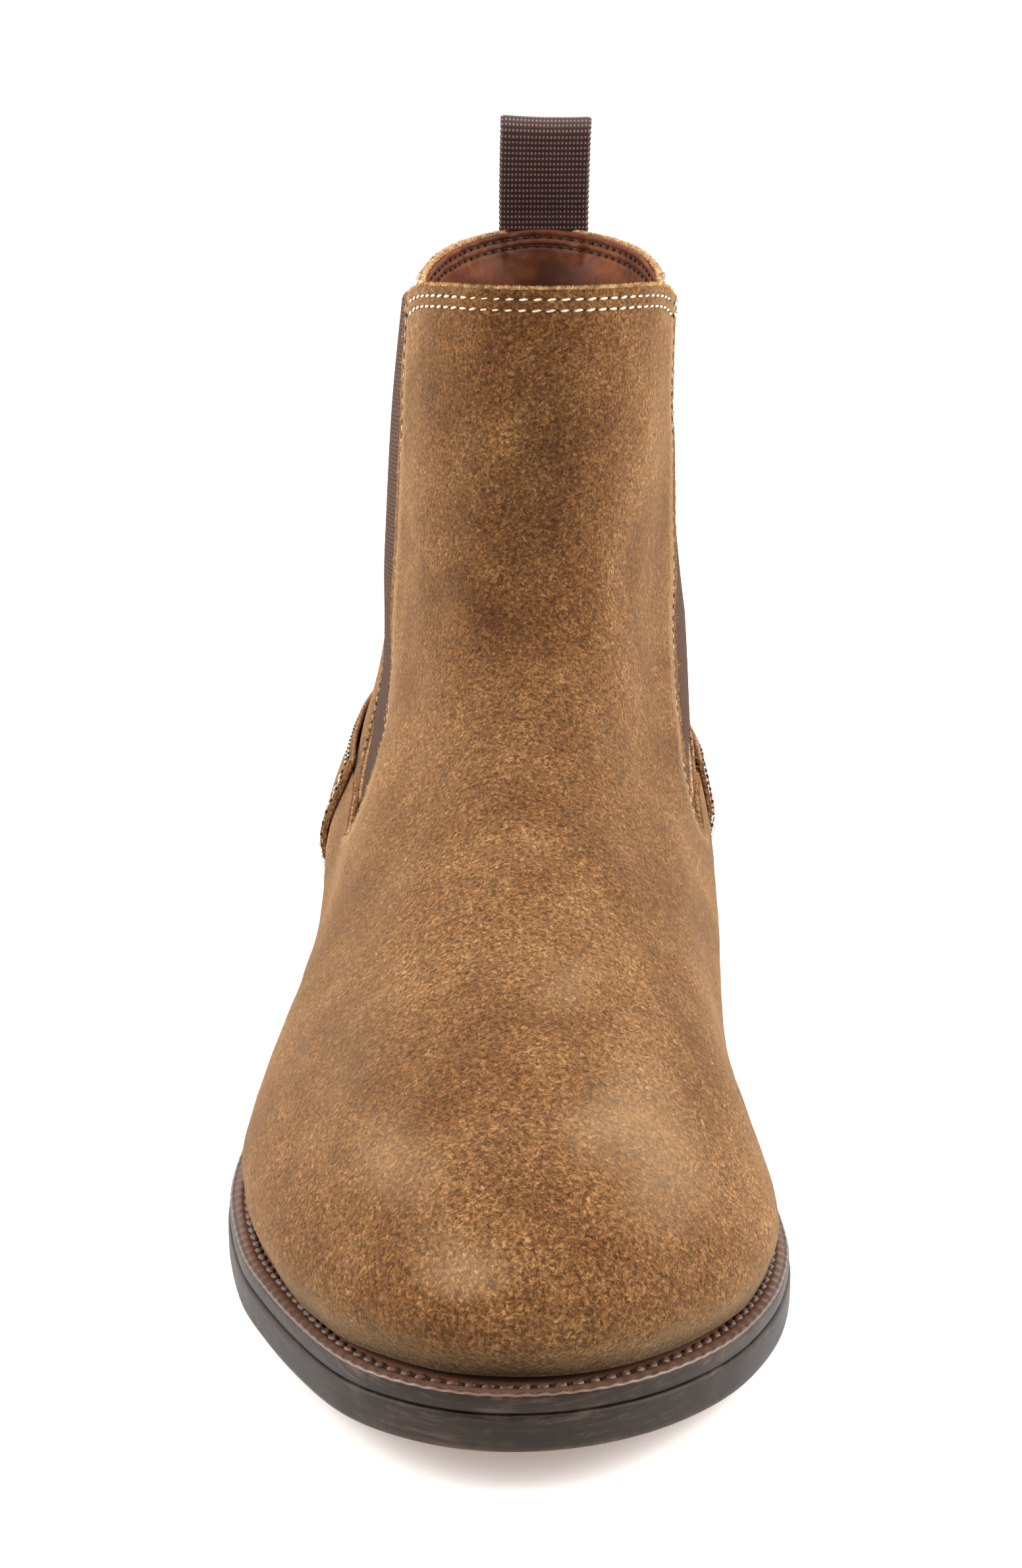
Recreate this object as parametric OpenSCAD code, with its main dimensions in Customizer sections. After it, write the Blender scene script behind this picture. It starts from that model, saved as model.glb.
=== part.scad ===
// Chelsea boot, right foot: suede upper with elastic side gores, welted leather
// sole and stacked heel. Toe points to -Y, +X is the inner (medial) side, +Z is
// up, and the floor is z = 0. The upper is one smooth skin, skin(u, v): u runs
// round the foot from the back seam (0) by the outer side and the toe (0.5) back
// to 1, and v rises through eight sections from the welt (0) to the topline (7).
// Each sheet is a patch of that skin between two depths below its face.

/* [Overall] */
// Back end of the sole, in front of or behind the origin
sole_back = 150; // [140:1:160]
// Toe end of the sole
sole_front = -152; // [-165:1:-140]
// Tilt of the shaft towards the inner side at the topline
shaft_lean = 9; // [0:0.5:12]

/* [Upper leathers] */
// Thickness of the vamp suede
vamp_t = 1.8; // [1.2:0.1:1.9]
// Thickness of the back panel suede
panel_t = 1.6; // [1.2:0.1:1.7]
// Thickness of the heel foxing suede
foxing_t = 1.5; // [1:0.1:2]
// Gap between the foxing and the panel that slides under it
foxing_gap = 0.6; // [0.5:0.1:0.9]
// Depth of the elastic web below the suede face
gore_depth = 2.15; // [2.1:0.05:2.2]
// Thickness of the elastic web
gore_t = 1; // [0.6:0.1:1]
// Depth of the linings below the suede face
lining_depth = 3.45; // [3.4:0.05:3.6]
// Thickness of the lining leather
lining_t = 1; // [0.6:0.1:1.2]
// Depth of the heel grip, inside the back lining
grip_depth = 6.8; // [6.6:0.1:7.2]

/* [Pull tab] */
// Width of the webbing
tab_w = 22; // [15:1:26]
// Height of the loop above its fold line
tab_h = 25.5; // [18:0.5:35]
// Thickness of one ply of webbing
tab_ply = 1.3; // [0.8:0.1:1.4]
// Inner width of the loop near its top
tab_gap = 6.2; // [4.5:0.1:10]

/* [Sole] */
// Thickness of the outsole
outsole_t = 6.8; // [4:0.1:9]
// Thickness of the welt
welt_t = 3.65; // [2.5:0.05:5]
// Width of the welt from its edge inwards
welt_w = 13; // [10:0.5:15]
// Rise of the sole under the toe tip
toe_spring = 8.7; // [4:0.1:12]
// Rise of the outsole under the back of the heel
heel_rise = 21; // [18:0.5:26]
// Cement gap between stacked layers
cement = 0.05; // [0.02:0.01:0.1]

/* [Heel] */
// Front face of the heel, measured along the boot
heel_breast = 74; // [68:1:84]
// Thickness of the rubber top piece
top_piece_t = 6; // [4:0.5:8]
// Thickness of the lower heel lift
lift_t = 5.5; // [4:0.5:6]
// Diameter of the heel nails
nail_d = 1.6; // [1.2:0.1:2.4]

/* [Hidden] */
$fn = 48;
eps = 0.001;
bed = outsole_t + cement + welt_t;   // from the outsole's underside up to the welt's top

// Girth stations, as a fraction of the length from back to toe
stations = [0, 0.2, 0.4, 0.55, 0.7, 0.85, 1];
// Sections from welt to topline: back y and z, front y and z, and how far the
// section follows the curve of the sole (1) or lies flat (0)
sections = [[146, 31.7, -147, 19.4, 1], [148, 43, -149, 30, 1], [148.5, 54, -134, 45, 0.7],
            [146, 69, -92, 60, 0.3], [140, 88, -43, 78, 0], [134, 113, -4, 104, 0],
            [131, 143, 9, 138, 0], [134, 174, 14, 172, 0]];
// Sideways shift of each section, as a share of the shaft lean
shift = [0, 0, 0.1, 0.33, 0.56, 0.7, 0.84, 1];
// Half girths of each section at the stations: outer side, then inner side
lateral = [[54, 42.5, 36, 43, 55, 57, 62], [55, 43, 38.5, 44.5, 54, 59, 60],
           [51, 42, 41, 39, 45.5, 46, 44], [46, 39.5, 36.5, 34.5, 34.5, 33, 32],
           [42, 36.5, 33.5, 30.5, 29.5, 27, 27], [38, 34, 33.5, 33, 29.8, 29.5, 30],
           [34.5, 32, 32.7, 33, 31.6, 31.5, 32], [31, 29.5, 29.5, 31, 32.2, 33, 34.5]];
medial = [[54, 40.5, 31, 35.5, 50, 63, 66], [55, 42.5, 36.5, 41, 50, 64, 66],
          [51, 42, 45.5, 44.5, 44, 51, 50], [46, 40, 41.5, 39.5, 37, 36, 36],
          [42, 37, 37.5, 36.3, 31, 29, 29], [38, 34, 36, 34.6, 30.2, 29.5, 30],
          [36, 32, 33.5, 33.2, 31.6, 31.5, 32], [34, 32, 31, 31.8, 32.2, 33, 34.5]];
// Half widths of the sole at its own stations: outer side, then inner side
sole_stations = [0, 0.05, 0.12, 0.2, 0.3, 0.4, 0.5, 0.6, 0.7, 0.8, 0.9, 1];
sole_lateral = [58, 57, 53, 46.5, 41.5, 41, 45, 51.5, 58.5, 61, 60.5, 68];
sole_medial = [58, 57, 52, 44.5, 38, 37, 41, 48.5, 55.5, 64, 68, 68];
tip_shift = 3;                       // how far the toe tip lies to the inner side
// Underside of the sole, from toe to heel
rise_y = [-152, -125, -98, -80, -55, -38, -5, 35, 75, 110, 150];
rise_z = [toe_spring, toe_spring * 0.47, toe_spring * 0.12, 0, 0, 0.8, 5, 12,
          heel_rise * 0.83, heel_rise * 0.95, heel_rise];

// Edges of the side gore as u over v, front edge then back edge; below the gore
// they are the side seam
edge_v = [0, 1, 2, 2.7, 3, 3.4, 4, 5, 6, 7];
front_u = [0.200, 0.212, 0.230, 0.260, 0.271, 0.277, 0.279, 0.293, 0.310, 0.318];
back_u = [0.198, 0.210, 0.227, 0.2565, 0.247, 0.240, 0.231, 0.220, 0.211, 0.205];
foxing_back_v = 3.58;                // foxing top line at the back seam
foxing_side_v = 2.65;                // and at the foot of the gore

// The tab folds about this line, just above the topline at the back
tab_x = shaft_lean + 1.4;
tab_y = 131.6;
tab_z = 175.8;

function lerp(a, b, t) = a + (b - a) * t;
function span(ts, t, i = 0) = (i >= len(ts) - 2 || t < ts[i + 1]) ? i : span(ts, t, i + 1);
function slope(ts, vs, k) =
    let (a = max(k - 1, 0), b = min(k + 1, len(ts) - 1)) (vs[b] - vs[a]) / (ts[b] - ts[a]);
// Smooth curve through the values vs at the stations ts
function curve(ts, vs, t) =
    let (i = span(ts, t), h = ts[i + 1] - ts[i], s = (t - ts[i]) / h)
    vs[i] * (2 * pow(s, 3) - 3 * s * s + 1) + vs[i + 1] * (3 * s * s - 2 * pow(s, 3))
    + slope(ts, vs, i) * h * (pow(s, 3) - 2 * s * s + s)
    + slope(ts, vs, i + 1) * h * (pow(s, 3) - s * s);

function underside(y) = max(0, curve(rise_y, rise_z, y));
function seat(y) = underside(y) + bed;
function along(u) = (1 - cos(360 * u)) / 2;

// One point of a section of the upper
function section_point(r, u) =
    let (f = along(u), s = sin(360 * u), c = sections[r],
         w = curve(stations, s >= 0 ? lateral[r] : medial[r], f),
         y = lerp(c[0], c[2], f),
         bow = seat(y) - lerp(seat(c[0]), seat(c[2]), f))
    [shift[r] * shaft_lean + tip_shift * f * f * c[4] - w * s, y, lerp(c[1], c[3], f) + c[4] * bow];
function skin(u, v) =
    let (i = min(floor(v), 6), s = v - i,
         a = section_point(max(i - 1, 0), u), b = section_point(i, u),
         c = section_point(i + 1, u), d = section_point(min(i + 2, 7), u),
         m0 = (c - a) / (i == 0 ? 1 : 2), m1 = (d - b) / (i == 6 ? 1 : 2))
    b * (2 * pow(s, 3) - 3 * s * s + 1) + c * (3 * s * s - 2 * pow(s, 3))
    + m0 * (pow(s, 3) - 2 * s * s + s) + m1 * (pow(s, 3) - s * s);
// Outward normal of the skin, and a point at a depth below its face
function normal(u, v) =
    let (h = 0.004, lo = max(v - 0.05, 0), hi = min(v + 0.05, 7),
         n = cross(skin(u + h, v) - skin(u - h, v), skin(u, hi) - skin(u, lo)))
    n / norm(n);
function below(u, v, d) = skin(u, v) - normal(u, v) * d;

// Half a cosine, from 1 at t = 0 to 0 at t = 1
function ease(t) = (1 + cos(180 * min(max(t, 0), 1))) / 2;
function foxing_top(u) = lerp(foxing_side_v, foxing_back_v, ease(abs(u) / 0.25));
// The topline dips towards the gores
function dip(t, sag, power, corner) = 7 - sag * pow(min(t, 1), power) - corner * pow(min(t, 1), 8);
function vamp_top(u) = dip(abs(u - 0.5) / 0.182, 0.07, 2, 0.1);
function panel_top(u) = dip(abs(u) / 0.205, 0.16, 1.7, 0.08);

// A closed sheet over a grid of [u, v] places, from depth d0 to depth d1
module sheet(grid, d0, d1) {
    n = len(grid);
    m = len(grid[0]);
    function at(i, j) = i * m + j;
    points = concat([for (row = grid, g = row) below(g[0], g[1], d0)],
                    [for (row = grid, g = row) below(g[0], g[1], d1)]);
    inner = n * m;
    // both skins are split along the same diagonal
    skins = [for (i = [0:n - 2], j = [0:m - 2], t = [0, 1])
             let (q = t == 0 ? [at(i, j), at(i, j + 1), at(i + 1, j + 1)]
                             : [at(i, j), at(i + 1, j + 1), at(i + 1, j)]) q];
    rim = concat([for (j = [0:m - 2]) at(0, j)], [for (i = [0:n - 2]) at(i, m - 1)],
                 [for (j = [m - 1:-1:1]) at(n - 1, j)], [for (i = [n - 1:-1:1]) at(i, 0)]);
    walls = [for (k = [0:len(rim) - 1], t = [0, 1])
             let (a = rim[k], b = rim[(k + 1) % len(rim)])
             t == 0 ? [b, a, a + inner] : [b, a + inner, b + inner]];
    far_skins = [for (q = skins) [q[2] + inner, q[1] + inner, q[0] + inner]];
    polyhedron(points, concat(skins, far_skins, walls));
}

// Grid from edge to edge: u between two side edges, v between a foot and a top
function patch(nu, nv, u0, u1, v0, v1) =
    [for (i = [0:nu]) [for (j = [0:nv]) [lerp(u0, u1, i / nu), lerp(v0, v1, j / nv)]]];
// The vamp runs from one front edge to the other
function vamp_grid(nu, nv, foot, inset) =
    [for (i = [0:nu]) [for (j = [0:nv])
        let (top = vamp_top(lerp(0.318, 0.682, i / nu)), v = lerp(foot, top, j / nv) - inset * j / nv,
             e = curve(edge_v, front_u, v))
        [lerp(e, 1 - e, i / nu), v]]];
// The back panel runs from the medial gore round the back seam to the lateral gore
function panel_grid(nu, nv, lap, inset) =
    [for (i = [0:nu]) [for (j = [0:nv])
        let (t = 2 * i / nu - 1, foot = foxing_top(0.25 * t) - lap * lerp(1, 0.1, abs(t)),
             v = lerp(foot, panel_top(0.205 * t), j / nv) - inset * j / nv,
             e = curve(edge_v, back_u, v))
        [t * e, v]]];
// The foxing, the counter and the grip run round the heel between the side seams
function heel_grid(nu, nv, reach, foot, drop) =
    [for (i = [0:nu]) [for (j = [0:nv])
        let (t = 2 * i / nu - 1, v = lerp(foot, foxing_top(0.25 * t) - drop, j / nv),
             e = curve(edge_v, front_u, v) + reach)
        [t * e, v]]];
// The gore, with its hidden sewing margins under both panels
function gore_grid(nu, nv, margin) =
    [for (i = [0:nu]) [for (j = [0:nv])
        let (v = lerp(2.78, 6.76, j / nv),
             a = curve(edge_v, back_u, v) - margin, b = curve(edge_v, front_u, v) + margin)
        [lerp(a, b, i / nu), v]]];
function mirrored(grid) = [for (i = [len(grid) - 1:-1:0]) [for (g = grid[i]) [1 - g[0], g[1]]]];

module vamp() {
    color("#a88455") sheet(vamp_grid(34, 18, 0, 0), 0, vamp_t);
}

module heel_foxing() {
    color("#9c774b") sheet(heel_grid(28, 8, 0.006, 0, 0), -foxing_gap - foxing_t, -foxing_gap);
}

module back_panel() {
    color("#a88455") sheet(panel_grid(22, 12, 0.48, 0), 0, panel_t);
}

module gore_lateral() {
    color("#4a403c") sheet(gore_grid(6, 16, 0.012), gore_depth, gore_depth + gore_t);
}

module gore_medial() {
    color("#4a403c") sheet(mirrored(gore_grid(6, 16, 0.012)), gore_depth, gore_depth + gore_t);
}

module vamp_lining() {
    color("#5a2f18") sheet(vamp_grid(30, 16, 0.02, 0.04), lining_depth, lining_depth + lining_t);
}

module back_lining() {
    color("#5a2f18") sheet(panel_grid(20, 12, 0.4, 0.04), lining_depth, lining_depth + lining_t);
}

module heel_grip() {
    color("#6b4427") sheet(heel_grid(20, 8, -0.03, 0.5, 0.1), grip_depth, grip_depth + 0.9);
}

module toe_puff() {
    color("#cbb48c") sheet(patch(16, 6, 0.4, 0.6, 0.05, 2.4), vamp_t + 0.5, vamp_t + 1.3);
}

module heel_counter() {
    color("#b08a5a") sheet(heel_grid(20, 6, -0.02, 0, 1), 0.1, vamp_t);
}

// Webbing loop in side view: two plies that part into a rounded eye at the top
module loop_outline(grow) {
    offset(r = grow) hull() {
        translate([0, tab_h - tab_ply - tab_gap / 2]) circle(d = tab_gap, $fn = 32);
        translate([0, 2.5]) circle(d = 0.3, $fn = 16);
    }
}

module pull_tab() {
    color("#3a1f16") translate([tab_x - tab_w / 2, tab_y, tab_z]) rotate([90, 0, 90])
        linear_extrude(tab_w) difference() {
            union() {
                loop_outline(tab_ply);
                circle(d = 2 * tab_ply, $fn = 24);
                translate([-tab_ply, 0]) square([2 * tab_ply, 3]);
            }
            loop_outline(0);
        }
}

// The sewn-in tail of the webbing, between the back panel and its lining
module tab_anchor() {
    reach = 0.05;                    // half the webbing's width as a share of the girth
    color("#3a1f16") sheet([for (i = [0:4]) [for (j = [0:5])
        [reach * (i / 2 - 1) - 0.0065, lerp(6.2, 6.97, j / 5)]]], panel_t + 0.15, panel_t + 1.25);
}

// Outline of the sole (or of the foot inside the welt) at station f, pulled in by m
function sole_half(f, m, side) =
    curve(sole_stations, side > 0 ? sole_lateral : sole_medial, f) - m;
function foot_half(f, m, side) = curve(stations, side > 0 ? lateral[0] : medial[0], f) - m;
function plan_point(f, m, side, foot) =
    let (s = 2 * sqrt(f * (1 - f)), w = foot ? foot_half(f, m, side) : sole_half(f, m, side),
         b = foot ? sections[0][0] : sole_back, t = foot ? sections[0][2] : sole_front)
    [tip_shift * f * f - side * w * s, lerp(b - m, t + m, f)];
function plan_steps(n, f0, f1) =
    let (a = acos(1 - 2 * f0), b = acos(1 - 2 * f1)) [for (k = [0:n]) (1 - cos(lerp(a, b, k / n))) / 2];

// A slab between two heights above the sole's curved underside
module slab(z0, z1, m, n = 44, f0 = 1e-5, f1 = 1 - 1e-5, foot = false) {
    fs = plan_steps(n, f0, f1);
    points = [for (f = fs, side = [1, -1], z = [z0, z1])
              let (p = plan_point(f, m, side, foot)) [p[0], p[1], underside(p[1]) + z]];
    faces = concat([[0, 1, 3, 2]], [[4 * n, 4 * n + 2, 4 * n + 3, 4 * n + 1]],
        [for (k = [0:n - 1], q = [[0, 4, 5, 1], [2, 3, 7, 6], [1, 5, 7, 3], [0, 2, 6, 4]])
         [for (c = q) c + 4 * k]]);
    polyhedron(points, faces);
}

module outsole() {
    color("#33231a") slab(0, outsole_t, 0);
}

// Welt: a ring that carries the lockstitches, open in the middle
module welt() {
    n = 84;
    us = [for (k = [0:n - 1]) k / n];
    function ring(u, m, z) =
        let (p = plan_point(along(u), m, sin(360 * u) >= 0 ? 1 : -1, false))
        [p[0], p[1], underside(p[1]) + z];
    z0 = outsole_t + cement;
    z1 = z0 + welt_t;
    points = [for (u = us, c = [[0.6, z0], [0.6, z1], [welt_w, z1], [welt_w, z0]]) ring(u, c[0], c[1])];
    faces = [for (k = [0:n - 1], c = [0:3], t = [0, 1])
             let (a = 4 * k + c, b = 4 * k + (c + 1) % 4,
                  d = 4 * ((k + 1) % n) + c, e = 4 * ((k + 1) % n) + (c + 1) % 4)
             t == 0 ? [a, b, e] : [a, e, d]];
    color("#5a4030") polyhedron(points, faces);
}

module insole_board() {
    color("#c9a878") slab(bed + cement, bed + 2.5, 6.8, foot = true);
}

module sock_liner() {
    color("#6b4427") slab(bed + 2.5 + cement, bed + 4, 7.4, foot = true);
}

module cork_filler() {
    color("#a87b4f") slab(outsole_t + cement, bed - cement, welt_w + 1, n = 20, f0 = 0.6, f1 = 0.97);
}

module heel_pad() {
    color("#8a5f3c") slab(outsole_t + cement, bed - cement, welt_w + 1, n = 12, f0 = 0.03, f1 = 0.2);
}

// Steel shank, a narrow strip that bridges the waist of the sole
module shank() {
    ys = [for (k = [0:12]) lerp(78, -26, k / 12)];
    z0 = outsole_t + 1.4;
    points = [for (y = ys, x = [-8, 8], z = [0, 1.2]) [x, y, underside(y) + z0 + z]];
    faces = concat([[0, 1, 3, 2], [48, 50, 51, 49]],
        [for (k = [0:11], q = [[0, 4, 5, 1], [2, 3, 7, 6], [1, 5, 7, 3], [0, 2, 6, 4]])
         [for (c = q) c + 4 * k]]);
    color("#9aa0a4") polyhedron(points, faces);
}

// Plan of the heel, cut off straight at the breast
module heel_plan(m) {
    f1 = (sole_back - m - heel_breast) / (sole_back - sole_front - 2 * m);
    fs = plan_steps(18, 1e-5, f1);
    polygon(concat([for (f = fs) plan_point(f, m, 1, false)],
                   [for (k = [len(fs) - 1:-1:0]) plan_point(fs[k], m, -1, false)]));
}

nail_places = [[0, 140], [-20, 128], [19, 128], [-22, 104], [20, 104], [-20, 84], [17, 84]];
nail_foot = 1.4;
nail_head_h = 1;
nail_top = top_piece_t + lift_t + 3;

module nails(clearance) {
    for (p = nail_places) translate([p[0], p[1], 0]) {
        translate([0, 0, nail_foot - clearance])
            cylinder(d = nail_d + 2 * clearance, h = nail_top - nail_foot + 2 * clearance);
        translate([0, 0, nail_foot - clearance])
            cylinder(d = 2 * nail_d + 2 * clearance, h = nail_head_h + 2 * clearance);
    }
}

module heel_nails() {
    color("#b59a52") nails(0);
}

module top_piece() {
    color("#1d1917") difference() {
        linear_extrude(top_piece_t) heel_plan(1.2);
        nails(0.05);
        for (p = nail_places) translate([p[0], p[1], -1])
            cylinder(d = 2 * nail_d + 0.1, h = 1 + nail_foot);
    }
}

module heel_lift_lower() {
    color("#3b281c") difference() {
        translate([0, 0, top_piece_t + cement]) linear_extrude(lift_t - cement) heel_plan(1);
        nails(0.05);
    }
}

// The upper lift is a wedge: its top follows the underside of the outsole
module heel_lift_upper() {
    z0 = top_piece_t + lift_t + cement;
    ys = [for (k = [0:10]) lerp(heel_breast - 4, sole_back + 4, k / 10)];
    color("#33231a") difference() {
        translate([0, 0, z0]) linear_extrude(20) heel_plan(0.8);
        rotate([90, 0, 90]) translate([0, 0, -80]) linear_extrude(160)
            polygon(concat([for (y = ys) [y, underside(min(y, 150)) - cement]],
                           [[sole_back + 4, 60], [heel_breast - 4, 60]]));
        nails(0.05);
    }
}

vamp();
heel_foxing();
back_panel();
gore_lateral();
gore_medial();
pull_tab();
tab_anchor();
vamp_lining();
back_lining();
heel_grip();
toe_puff();
heel_counter();
welt();
insole_board();
sock_liner();
cork_filler();
shank();
heel_pad();
outsole();
heel_lift_upper();
heel_lift_lower();
top_piece();
heel_nails();
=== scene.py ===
"""Chelsea boot, right foot: suede upper with elastic gores, nylon pull tab,
stitched welt and stacked heel. Millimetres inside the classes, metres in the scene."""

from __future__ import annotations

import logging
import math
from dataclasses import dataclass
from enum import Enum

import bpy
import numpy as np
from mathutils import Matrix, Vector

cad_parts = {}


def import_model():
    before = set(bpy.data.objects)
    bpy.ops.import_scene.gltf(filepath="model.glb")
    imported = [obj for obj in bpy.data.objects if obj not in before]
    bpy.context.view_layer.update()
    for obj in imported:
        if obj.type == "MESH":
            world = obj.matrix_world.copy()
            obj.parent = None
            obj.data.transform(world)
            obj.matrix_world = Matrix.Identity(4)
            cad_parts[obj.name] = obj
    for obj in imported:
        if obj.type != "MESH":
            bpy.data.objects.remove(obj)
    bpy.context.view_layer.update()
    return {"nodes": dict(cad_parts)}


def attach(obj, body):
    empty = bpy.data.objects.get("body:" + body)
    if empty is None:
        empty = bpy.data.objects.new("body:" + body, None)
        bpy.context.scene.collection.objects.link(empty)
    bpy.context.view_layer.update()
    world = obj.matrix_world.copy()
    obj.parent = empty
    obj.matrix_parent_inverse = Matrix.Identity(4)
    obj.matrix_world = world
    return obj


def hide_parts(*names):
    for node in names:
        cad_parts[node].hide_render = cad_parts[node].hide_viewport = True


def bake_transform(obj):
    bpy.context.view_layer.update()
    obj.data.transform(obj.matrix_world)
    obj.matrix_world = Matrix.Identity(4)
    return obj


LOG = logging.getLogger("boot")
MM = 0.001
Array = np.ndarray
Node = bpy.types.Node
Tree = bpy.types.NodeTree


def linear(code: str) -> tuple[float, float, float, float]:
    """Turns an sRGB hex colour into linear RGBA.

    Args:
        code: Six hex digits, such as "a08050".

    Returns:
        Red, green, blue and alpha, from 0 to 1.
    """
    srgb = [int(code[i : i + 2], 16) / 255 for i in (0, 2, 4)]
    rgb = [c / 12.92 if c <= 0.04045 else ((c + 0.055) / 1.055) ** 2.4 for c in srgb]
    return rgb[0], rgb[1], rgb[2], 1.0


def add_node(tree: Tree, kind: str, inputs: dict | None = None,
             stops: tuple[tuple[float, str], ...] = (), **settings: object) -> Node:
    """Adds one shader node with its settings, inputs and links.

    Args:
        tree: The node tree to add to.
        kind: The node's type, without the ShaderNode prefix.
        inputs: Input name or number to a constant, a socket, or a node whose first
            output feeds it.
        stops: Colour ramp stops as position and hex colour.
        **settings: Properties of the node.

    Returns:
        The new node.
    """
    node = tree.nodes.new("ShaderNode" + kind)
    for key, value in settings.items():
        setattr(node, key, value)
    for key, value in (inputs or {}).items():
        if isinstance(value, bpy.types.Node):
            value = value.outputs[0]
        if isinstance(value, bpy.types.NodeSocket):
            tree.links.new(value, node.inputs[key])
        else:
            node.inputs[key].default_value = value
    if stops:
        ramp = node.color_ramp
        while len(ramp.elements) < len(stops):
            ramp.elements.new(0.5)
        for element, (place, code) in zip(ramp.elements, stops):
            element.position = place
            element.color = linear(code)
    return node


def per_mm(size: float) -> float:
    """Texture scale whose pattern repeats about every size millimetres."""
    return 1 / (size * MM)


def noise(tree: Tree, place: Node | bpy.types.NodeSocket, size_mm: float, detail: float = 2.0,
          rough: float = 0.5, distortion: float = 0.0) -> Node:
    """Adds a noise texture whose blobs are about size_mm wide."""
    return add_node(tree, "TexNoise", {"Vector": place, "Scale": per_mm(size_mm), "Detail": detail,
                    "Roughness": rough, "Distortion": distortion})


def mix(tree: Tree, share: Node | bpy.types.NodeSocket | float, first: object, second: object,
        kind: str = "MIX") -> bpy.types.NodeSocket:
    """Adds a colour mix of first and second and returns its result."""
    return add_node(tree, "Mix", {0: share, 6: first, 7: second}, data_type="RGBA",
                    blend_type=kind).outputs[2]


def wear_and_shade_at(tree: Tree) -> bpy.types.NodeSocket:
    """The mesh's own darkening value, where it has one, else 0; on the suede it is partly painted shade.
    """
    return add_node(tree, "Attribute", attribute_name="wear_and_shade").outputs["Fac"]


def object_place(tree: Tree) -> bpy.types.NodeSocket:
    """The shaded point in the object's own metres."""
    return add_node(tree, "TexCoord").outputs["Object"]


class Finish:
    """A surface finish. Subclasses fill the node tree of one material."""

    name: str = "finish"

    def material(self) -> bpy.types.Material:
        """Makes the material once and returns it on every later call."""
        found = bpy.data.materials.get(self.name)
        if found:
            return found
        made = bpy.data.materials.new(self.name)
        made.use_nodes = True
        tree = made.node_tree
        tree.nodes.clear()
        shader = self.paint(tree)
        add_node(tree, "OutputMaterial", {"Surface": shader})
        return made

    def paint(self, tree: Tree) -> Node:
        """Adds this finish's nodes and returns its shader."""
        raise NotImplementedError


@dataclass(frozen=True)
class Suede(Finish):
    """Cow suede, the flesh side sanded to a short nap. The nap's tufts throw tiny
    shadows, so it reads as light fibres over dark pits, and it brightens where the
    surface turns away from the eye. Brushing leaves soft lighter and darker patches.
    Above zero the wear attribute darkens the nap towards painted shade with grease, next
    to the welt and in marks on the shaft and toe; below zero it lightens raised nap."""

    name: str = "suede_sanded"
    pit: str = "2e1b0e"
    shade: str = "53361c"
    nap: str = "7b5531"
    tip: str = "ad865a"
    raised: str = "c4a680"
    # Colour of painted shade with greasy nap, next to the welt and in the dark marks.
    shade_and_grease: str = "1e140b"
    grain_mm: float = 0.72
    tuft_mm: float = 1.3
    blotch_mm: float = 9.0
    patch_mm: float = 42.0

    def paint(self, tree: Tree) -> Node:
        """Fibre grain and clumps over one brown ramp, in brushed patches."""
        place = object_place(tree)
        grain = noise(tree, place, self.grain_mm, 4.0, 0.66, 0.8)
        tuft = noise(tree, place, self.tuft_mm, 2.0, 0.6, 1.4)
        blotch = noise(tree, place, self.blotch_mm, distortion=0.5)
        patch = noise(tree, place, self.patch_mm, 3.0, 0.55, 0.8)
        clump = add_node(tree, "Math", {0: tuft, 1: 0.2}, operation="MULTIPLY")
        nap = add_node(tree, "Math", {0: grain, 1: 0.8, 2: clump}, operation="MULTIPLY_ADD")
        colour = add_node(tree, "ValToRGB", {0: nap}, (
            (0.33, self.pit), (0.44, self.shade), (0.55, self.nap), (0.68, self.tip)))
        brushed = add_node(tree, "ValToRGB", {0: patch}, (
            (0.34, "c4b096"), (0.5, "e6dccd"), (0.64, "ffffff")))
        worn = add_node(tree, "ValToRGB", {0: blotch}, ((0.35, "dfd2bf"), (0.65, "ffffff")))
        tone = mix(tree, 1.0, colour, brushed, "MULTIPLY")
        tone = mix(tree, 0.7, tone, worn, "MULTIPLY")
        wear_and_shade = wear_and_shade_at(tree)
        # Darkens towards painted shade with greasy nap where the attribute is above zero.
        tone = mix(tree, wear_and_shade, tone, linear(self.shade_and_grease))
        raised = add_node(tree, "Math", {0: wear_and_shade, 1: -1.0}, operation="MULTIPLY", use_clamp=True)
        tone = mix(tree, raised, tone, linear(self.raised))
        bump = add_node(tree, "Bump", {"Strength": 0.9, "Distance": 0.4 * MM, "Height": nap})
        return add_node(tree, "BsdfPrincipled", {
            "Base Color": tone, "Normal": bump, "Roughness": 0.95,
            "Specular IOR Level": 0.12, "Sheen Weight": 0.4, "Sheen Roughness": 0.4,
            "Sheen Tint": linear("e8c79a")})


@dataclass(frozen=True)
class Flecked(Finish):
    """Cut, pressed or cast material with a fine fleck in three tones: the cut core of
    suede, cork, fibre board, thread, rubber, steel or brass."""

    name: str = "flecked"
    dark: str = "5f3a1d"
    body: str = "8a5c36"
    light: str = "a87b4f"
    fleck_mm: float = 0.7
    rough: float = 0.9
    relief_mm: float = 0.25
    metal: float = 0.0
    sheen: float = 0.0

    def paint(self, tree: Tree) -> Node:
        """One fleck noise drives colour and relief."""
        place = object_place(tree)
        fleck = noise(tree, place, self.fleck_mm, 3.0, 0.7, 0.8)
        colour = add_node(tree, "ValToRGB", {0: fleck}, (
            (0.36, self.dark), (0.5, self.body), (0.64, self.light)))
        bump = add_node(tree, "Bump", {"Strength": 0.8, "Distance": self.relief_mm * MM,
                        "Height": fleck})
        return add_node(tree, "BsdfPrincipled", {
            "Base Color": colour, "Normal": bump, "Roughness": self.rough,
            "Metallic": self.metal, "Sheen Weight": self.sheen})


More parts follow.
